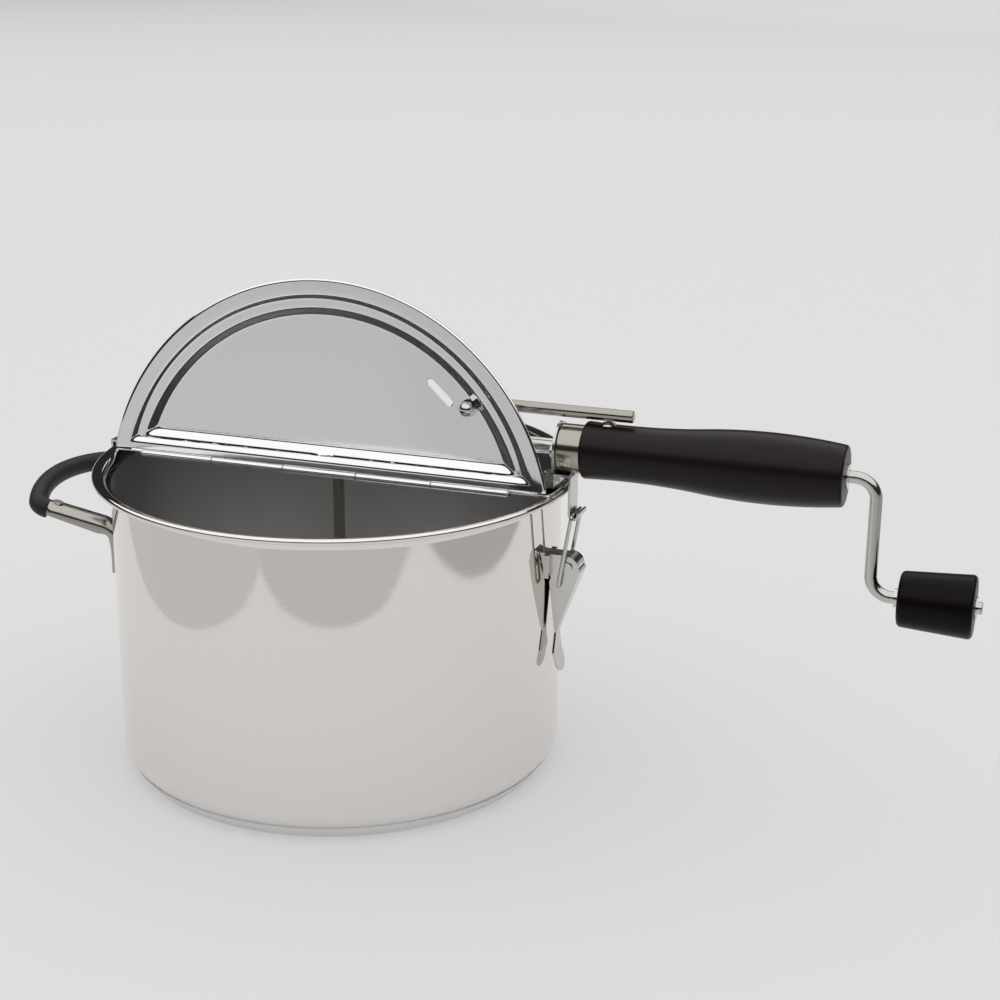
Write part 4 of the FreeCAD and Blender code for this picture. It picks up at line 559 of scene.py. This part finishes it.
def sleeve(name):
    """Matt black sleeve with a faint moulded texture."""
    made, tree, shader = material(name)
    height = grained(tree, shader, 0.42, 0.6, (900.0, 900.0, 900.0))
    tone = add(tree, "Mix", {0: height, 6: (0.0110, 0.0145, 0.0150, 1), 7: (0.0190, 0.0235, 0.0240, 1)},
               data_type="RGBA")
    feed(tree, shader, {"Base Color": tone.outputs[2], "Specular IOR Level": 0.3})
    bumped(tree, shader, height, 0.1, 0.0002)
    return made


POT = pot_zones(steel("pot_polished", (0.82, 0.78, 0.745), 0.03, 0.06, (12.0, 12.0, 1800.0), 0.01))
LID = steel("lid_polished", (0.84, 0.84, 0.85), 0.06, 0.11, (260.0, 260.0, 260.0), 0.01)
DISC = steel("disc_satin", (0.78, 0.78, 0.78), 0.25, 0.4, (12.0, 12.0, 1500.0))
SHEET = steel("bracket_satin", (0.62, 0.61, 0.58), 0.14, 0.26, (150.0, 150.0, 900.0))
COLLAR = steel("collar_warm", (0.42, 0.395, 0.345), 0.12, 0.22, (900.0, 150.0, 150.0))
TROUGH = steel("trough_warm", (0.43, 0.41, 0.375), 0.14, 0.24, (150.0, 150.0, 900.0))
LEVER = steel("lever_rod_bright", (0.40, 0.38, 0.335), 0.10, 0.18, (60.0, 900.0, 900.0))
BRIGHT = steel("rod_bright", (0.57, 0.56, 0.52), 0.12, 0.2, (60.0, 900.0, 900.0))
PLATED = steel("plated", (0.62, 0.62, 0.61), 0.07, 0.13, (400.0, 400.0, 400.0))
GEAR = steel("gear_steel", (0.42, 0.41, 0.40), 0.3, 0.42, (700.0, 700.0, 700.0), 0.1)
BRASS = steel("bush_brass", (0.62, 0.45, 0.20), 0.2, 0.32, (300.0, 300.0, 900.0))
WOOD = lacquered_wood("dark_wood", 1.0, 0.25)
KNOB = lacquered_wood("darker_wood", 0.4, 0.12)
SLEEVE = sleeve("black_sleeve")

CAD_FINISH = {
    "pot_steel": POT, "disc_steel": DISC, "bracket_steel": SHEET, "rivet_steel": SHEET,
    "screw_steel": PLATED, "rod_steel": BRIGHT, "gear_steel": GEAR, "bush_brass": BRASS,
    "grip_black": SLEEVE, "turned_wood": WOOD,
}


def finish(made, look, body, slot, *nodes):
    """Give a piece its material, the body it rides on and the nodes it stands for; its slot is not used.
    """
    made.data.materials.clear()
    made.data.materials.append(look)
    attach(made, body)
    if nodes:
        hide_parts(*nodes)
    return made


for entry in frame["record"]["subparts"]:
    for place in frame["nodes"][entry["node"]].material_slots:
        place.material = CAD_FINISH[entry["material_slot"]]

# the pot: floor, wall and flared lip outside, the rolled edge, and the same way back inside

foot = (POT_RADIUS - FOOT_BEND, POT_FLOOR + FOOT_BEND)
flare = (POT_RADIUS + FLARE, LIP_TOP - FLARE - POT_SHEET)
wall_levels = (30, 60, 90, 120)
pot_profile = ([(0, POT_FLOOR)] + arc(foot, FOOT_BEND, -90, 0, 14)
               + [(POT_RADIUS, z) for z in wall_levels]
               + arc(flare, FLARE, 180, 101.5, 14)
               + arc((flare[0], LIP_TOP - ROLL), ROLL, 180, 450, 22)
               + arc(flare, FLARE + POT_SHEET, 90, 180, 16)[1:]
               + [(POT_RADIUS - POT_SHEET, z) for z in wall_levels[::-1]]
               + arc(foot, FOOT_BEND - POT_SHEET, 0, -90, 14)
               + [(r, POT_FLOOR + POT_SHEET) for r in (60, 0)])
finish(lathe("pot_drawn", pot_profile, 360), POT, "popper", "pot_steel", "pot_body")

disc_profile = ([(0, 0)] + arc((DISC_RADIUS - DISC_EDGE, DISC_EDGE), DISC_EDGE, -90, 0, 8)
                + arc((DISC_RADIUS + 3.0, 6.1), 0.7, -20, 70, 6)
                + arc(foot, FOOT_BEND, -46.1, -90, 10) + [(0, POT_FLOOR)])
finish(lathe("spreading_disc", disc_profile, 360), DISC, "popper", "disc_steel", "base_disc")

# the lid, its flap and the hinge between them

rear = half_lid("lid_rear_half", False, 3.5, 6.0, [round_hole(0, 0, 5.2)])
finish(rear, LID, "popper", "pot_steel", "rear_lid")
flap_holes = [slot_hole(VENT_REACH, VENT_ANGLE, VENT_LENGTH, VENT_WIDTH), round_hole(*LEVER_HOLE, 3.1)]
flap = half_lid("lid_flap", True, 6.0, 10.0, flap_holes)
finish(flap, LID, "flap", "pot_steel", "front_flap")

rolls, faces = knuckles((0, 2, 4), 1)
finish(new_object("knuckles_rear", rolls, faces), LID, "popper", "pot_steel", "rear_lid")
rolls, faces = knuckles((1, 3), -1)
finish(new_object("knuckles_flap", opened(rolls), faces), LID, "flap", "pot_steel", "front_flap")

# the side handle: two rounded troughs that leave the wall, and the sleeve between them

side_trough("trough_front", 1, "side_bracket_front")
side_trough("trough_rear", -1, "side_bracket_rear")
grip = tube("grip_sleeve", grip_line(), GRIP_RADIUS, 40, 0.5)
finish(grip, SLEEVE, "popper", "grip_black", "side_grip")

# the wooden handle and its collar: (radius, x) from the collar's side to the crank's

tenon = COLLAR_RADIUS - COLLAR_SHEET - 0.1
tenon_start = COLLAR_START + COLLAR_SHEET + 0.2
first_step = math.degrees(0.15)
waist_start, belly_end = HANDLE_ROOT + WOOD_EASE, HANDLE_END - WOOD_EASE
waist = through((waist_start, ROOT_RADIUS), (BELLY_START, BELLY_RADIUS), 360, -1, 24)
belly = through((BELLY_START, BELLY_RADIUS), (belly_end, END_RADIUS), 285, 1, 28)
wood = [(WOOD_BORE, tenon_start), (tenon, tenon_start), (tenon, HANDLE_ROOT),
        (ROOT_RADIUS - WOOD_EASE, HANDLE_ROOT)]
wood += arc((ROOT_RADIUS - WOOD_EASE, waist_start), WOOD_EASE, first_step - 90, 0, 7)
wood += [(r, x) for x, r in waist + belly]
wood += arc((END_RADIUS - WOOD_EASE, belly_end), WOOD_EASE, first_step, 90, 7)
wood += [(WOOD_BORE, HANDLE_END)]
finish(lathe("handle_turned", wood, 128, "X", (0, 0, AXIS_Z)), WOOD, "popper", "turned_wood",
       "wood_handle")

collar_bend, collar_chamfer = 1.0, 0.3
collar_inside = COLLAR_RADIUS - COLLAR_SHEET
collar_floor = COLLAR_START + COLLAR_SHEET
collar = [(WOOD_BORE, COLLAR_START), (COLLAR_RADIUS - collar_bend, COLLAR_START)]
collar += arc((COLLAR_RADIUS - collar_bend, COLLAR_START + collar_bend), collar_bend, -90, 0, 7)
collar += [(COLLAR_RADIUS, HANDLE_ROOT - collar_chamfer), (COLLAR_RADIUS - collar_chamfer, HANDLE_ROOT),
           (collar_inside, HANDLE_ROOT), (collar_inside, collar_floor), (WOOD_BORE, collar_floor)]
finish(lathe("handle_collar", collar, 128, "X", (0, 0, AXIS_Z)), COLLAR, "popper", "bracket_steel",
       "handle_ferrule")

# the crank, its knob and the lever of the flap

crank_line = softened([(-21.5, 0, AXIS_Z), (ARM_X, 0, AXIS_Z), (ARM_X, 0, KNOB_Z), (ROD_TIP, 0, KNOB_Z)],
                      ROD_BEND, 16)
crank = tube("crank_bent_rod", crank_line, ROD_RADIUS, 32, 0.6)
finish(crank, BRIGHT, "crank", "rod_steel", "crank_rod")

first_step = math.degrees(0.1)
near_end, far_end = KNOB_START + KNOB_EASE, KNOB_END - KNOB_EASE
knob = [(KNOB_BORE, KNOB_START), (KNOB_NEAR - KNOB_EASE, KNOB_START)]
knob += arc((KNOB_NEAR - KNOB_EASE, near_end), KNOB_EASE, first_step - 90, 0, 8)
knob += [(KNOB_NEAR + (KNOB_FAR - KNOB_NEAR) * t, near_end + (far_end - near_end) * t)
         for t in (0.25, 0.5, 0.75, 1.0)]
knob += arc((KNOB_FAR - KNOB_EASE, far_end), KNOB_EASE, first_step, 90, 8)
knob += [(KNOB_BORE, KNOB_END)]
finish(lathe("knob_turned", knob, 128, "X", (0, 0, KNOB_Z)), KNOB, "knob", "turned_wood", "crank_knob")

hole_x, hole_y = LEVER_HOLE
lever_line = softened([(LEVER_END, hole_y, LEVER_Z), (hole_x, hole_y, LEVER_Z),
                       (hole_x, hole_y, LEVER_FOOT_Z)], 7, 14)
lever = tube("flap_lever_rod", opened(lever_line), ROD_RADIUS, 32, 0.6)
finish(lever, LEVER, "flap", "rod_steel", "flap_lever")

# floor, lights and camera

FLOOR_NEAR, FLOOR_FAR, FLOOR_HALF, FLOOR_RISE = -8000.0, 6000.0, 7000.0, 420.0
FLOOR_TURN = math.radians(-19.0)
PAPER_LEVEL, PAPER_GLOW = 0.45, 0.34
LEFT_CORNER, RIGHT_CORNER = (-85, -452), (430, -261)


def stage_piece(name, points, faces, level, glow):
    """A piece of the studio: matt, of one tone, lit a little from within by glow."""
    made = new_object(name, points, faces)
    paper, tree, shader = material(name + "_paper")
    feed(tree, shader, {"Base Color": (level, level * 0.995, level * 0.995, 1), "Roughness": 0.95,
                        "Specular IOR Level": 0.05, "Emission Color": (1.0, 0.995, 0.995, 1),
                        "Emission Strength": glow})
    made.data.materials.append(paper)


# a level sheet that curls up far behind: (y, z) carried across x, then turned about Z
level_y = np.linspace(FLOOR_NEAR, FLOOR_FAR, 19)
curl = np.linspace(0.1, QUARTER, 14)
floor_x = np.linspace(-FLOOR_HALF, FLOOR_HALF, 9)[None, :]
floor_y = np.concatenate([level_y, FLOOR_FAR + FLOOR_RISE * np.sin(curl)])[:, None]
floor_z = np.concatenate([0 * level_y, FLOOR_RISE * (1 - np.cos(curl))])[:, None]
sweep = np.stack([floor_x * math.cos(FLOOR_TURN) - floor_y * math.sin(FLOOR_TURN),
                  floor_x * math.sin(FLOOR_TURN) + floor_y * math.cos(FLOOR_TURN),
                  floor_z + 0 * floor_x], axis=-1)
stage_piece("paper_sweep", sweep.reshape(-1, 3), grid_faces(len(floor_y), floor_x.size, ring=False),
            PAPER_LEVEL, PAPER_GLOW)

# greyer boards in front and beside, out of the picture, that the polished wall mirrors
for name, share, corners in (
        ("board_left", 0.80, (LEFT_CORNER, (-3310, 3520), (-6000, 1200), (-2600, -6400))),
        ("board_front", 0.75, (LEFT_CORNER, (-2600, -6400), (3800, -5200), RIGHT_CORNER)),
        ("board_right", 0.60, (RIGHT_CORNER, (3800, -5200), (7000, 0), (436, 3200)))):
    stage_piece(name, [(x, y, 1.0) for x, y in corners], [(0, 1, 2, 3)],
                PAPER_LEVEL * share, PAPER_GLOW * share)

a = np.linspace(0, CIRCLE, 48, endpoint=False)
ring = 9000 * np.column_stack([np.cos(a), np.sin(a)])
room = np.vstack([np.column_stack([ring, np.full(len(a), z)]) for z in (-60.0, 4600.0)])
stage_piece("dark_room", room, grid_faces(2, len(a)), 0.035, 0.0)

world = bpy.data.worlds.new("studio")
world.use_nodes = True
feed(world.node_tree, world.node_tree.nodes["Background"],
     {"Color": (1.0, 0.998, 0.995, 1), "Strength": 0.80})

sky = bpy.data.lights.new("wide_light", "SUN")
sky.energy = 0.9
sky.angle = math.radians(130)
overhead = bpy.data.objects.new("wide_light", sky)
overhead.rotation_euler = Vector((0.15, 0.1, -1.0)).to_track_quat("-Z", "Y").to_euler()

view = bpy.data.cameras.new("photo_camera")
view.lens = 66.6
view.sensor_width = 36.0
view.sensor_fit = "HORIZONTAL"
view.clip_start, view.clip_end = 0.01, 50.0
camera = bpy.data.objects.new("photo_camera", view)
right = Vector((0.94481, 0.32753, 0.00789)).normalized()
ahead = Vector((-0.30954, 0.9003, -0.306)).normalized()
turned = Matrix((right, right.cross(ahead), -ahead)).transposed().to_4x4()
turned.translation = Vector((0.37412, -0.83247, 0.42914))
camera.matrix_world = turned

scene = bpy.context.scene
scene.collection.objects.link(overhead)
scene.collection.objects.link(camera)
scene.camera = camera
scene.world = world
scene.view_settings.view_transform = "Standard"
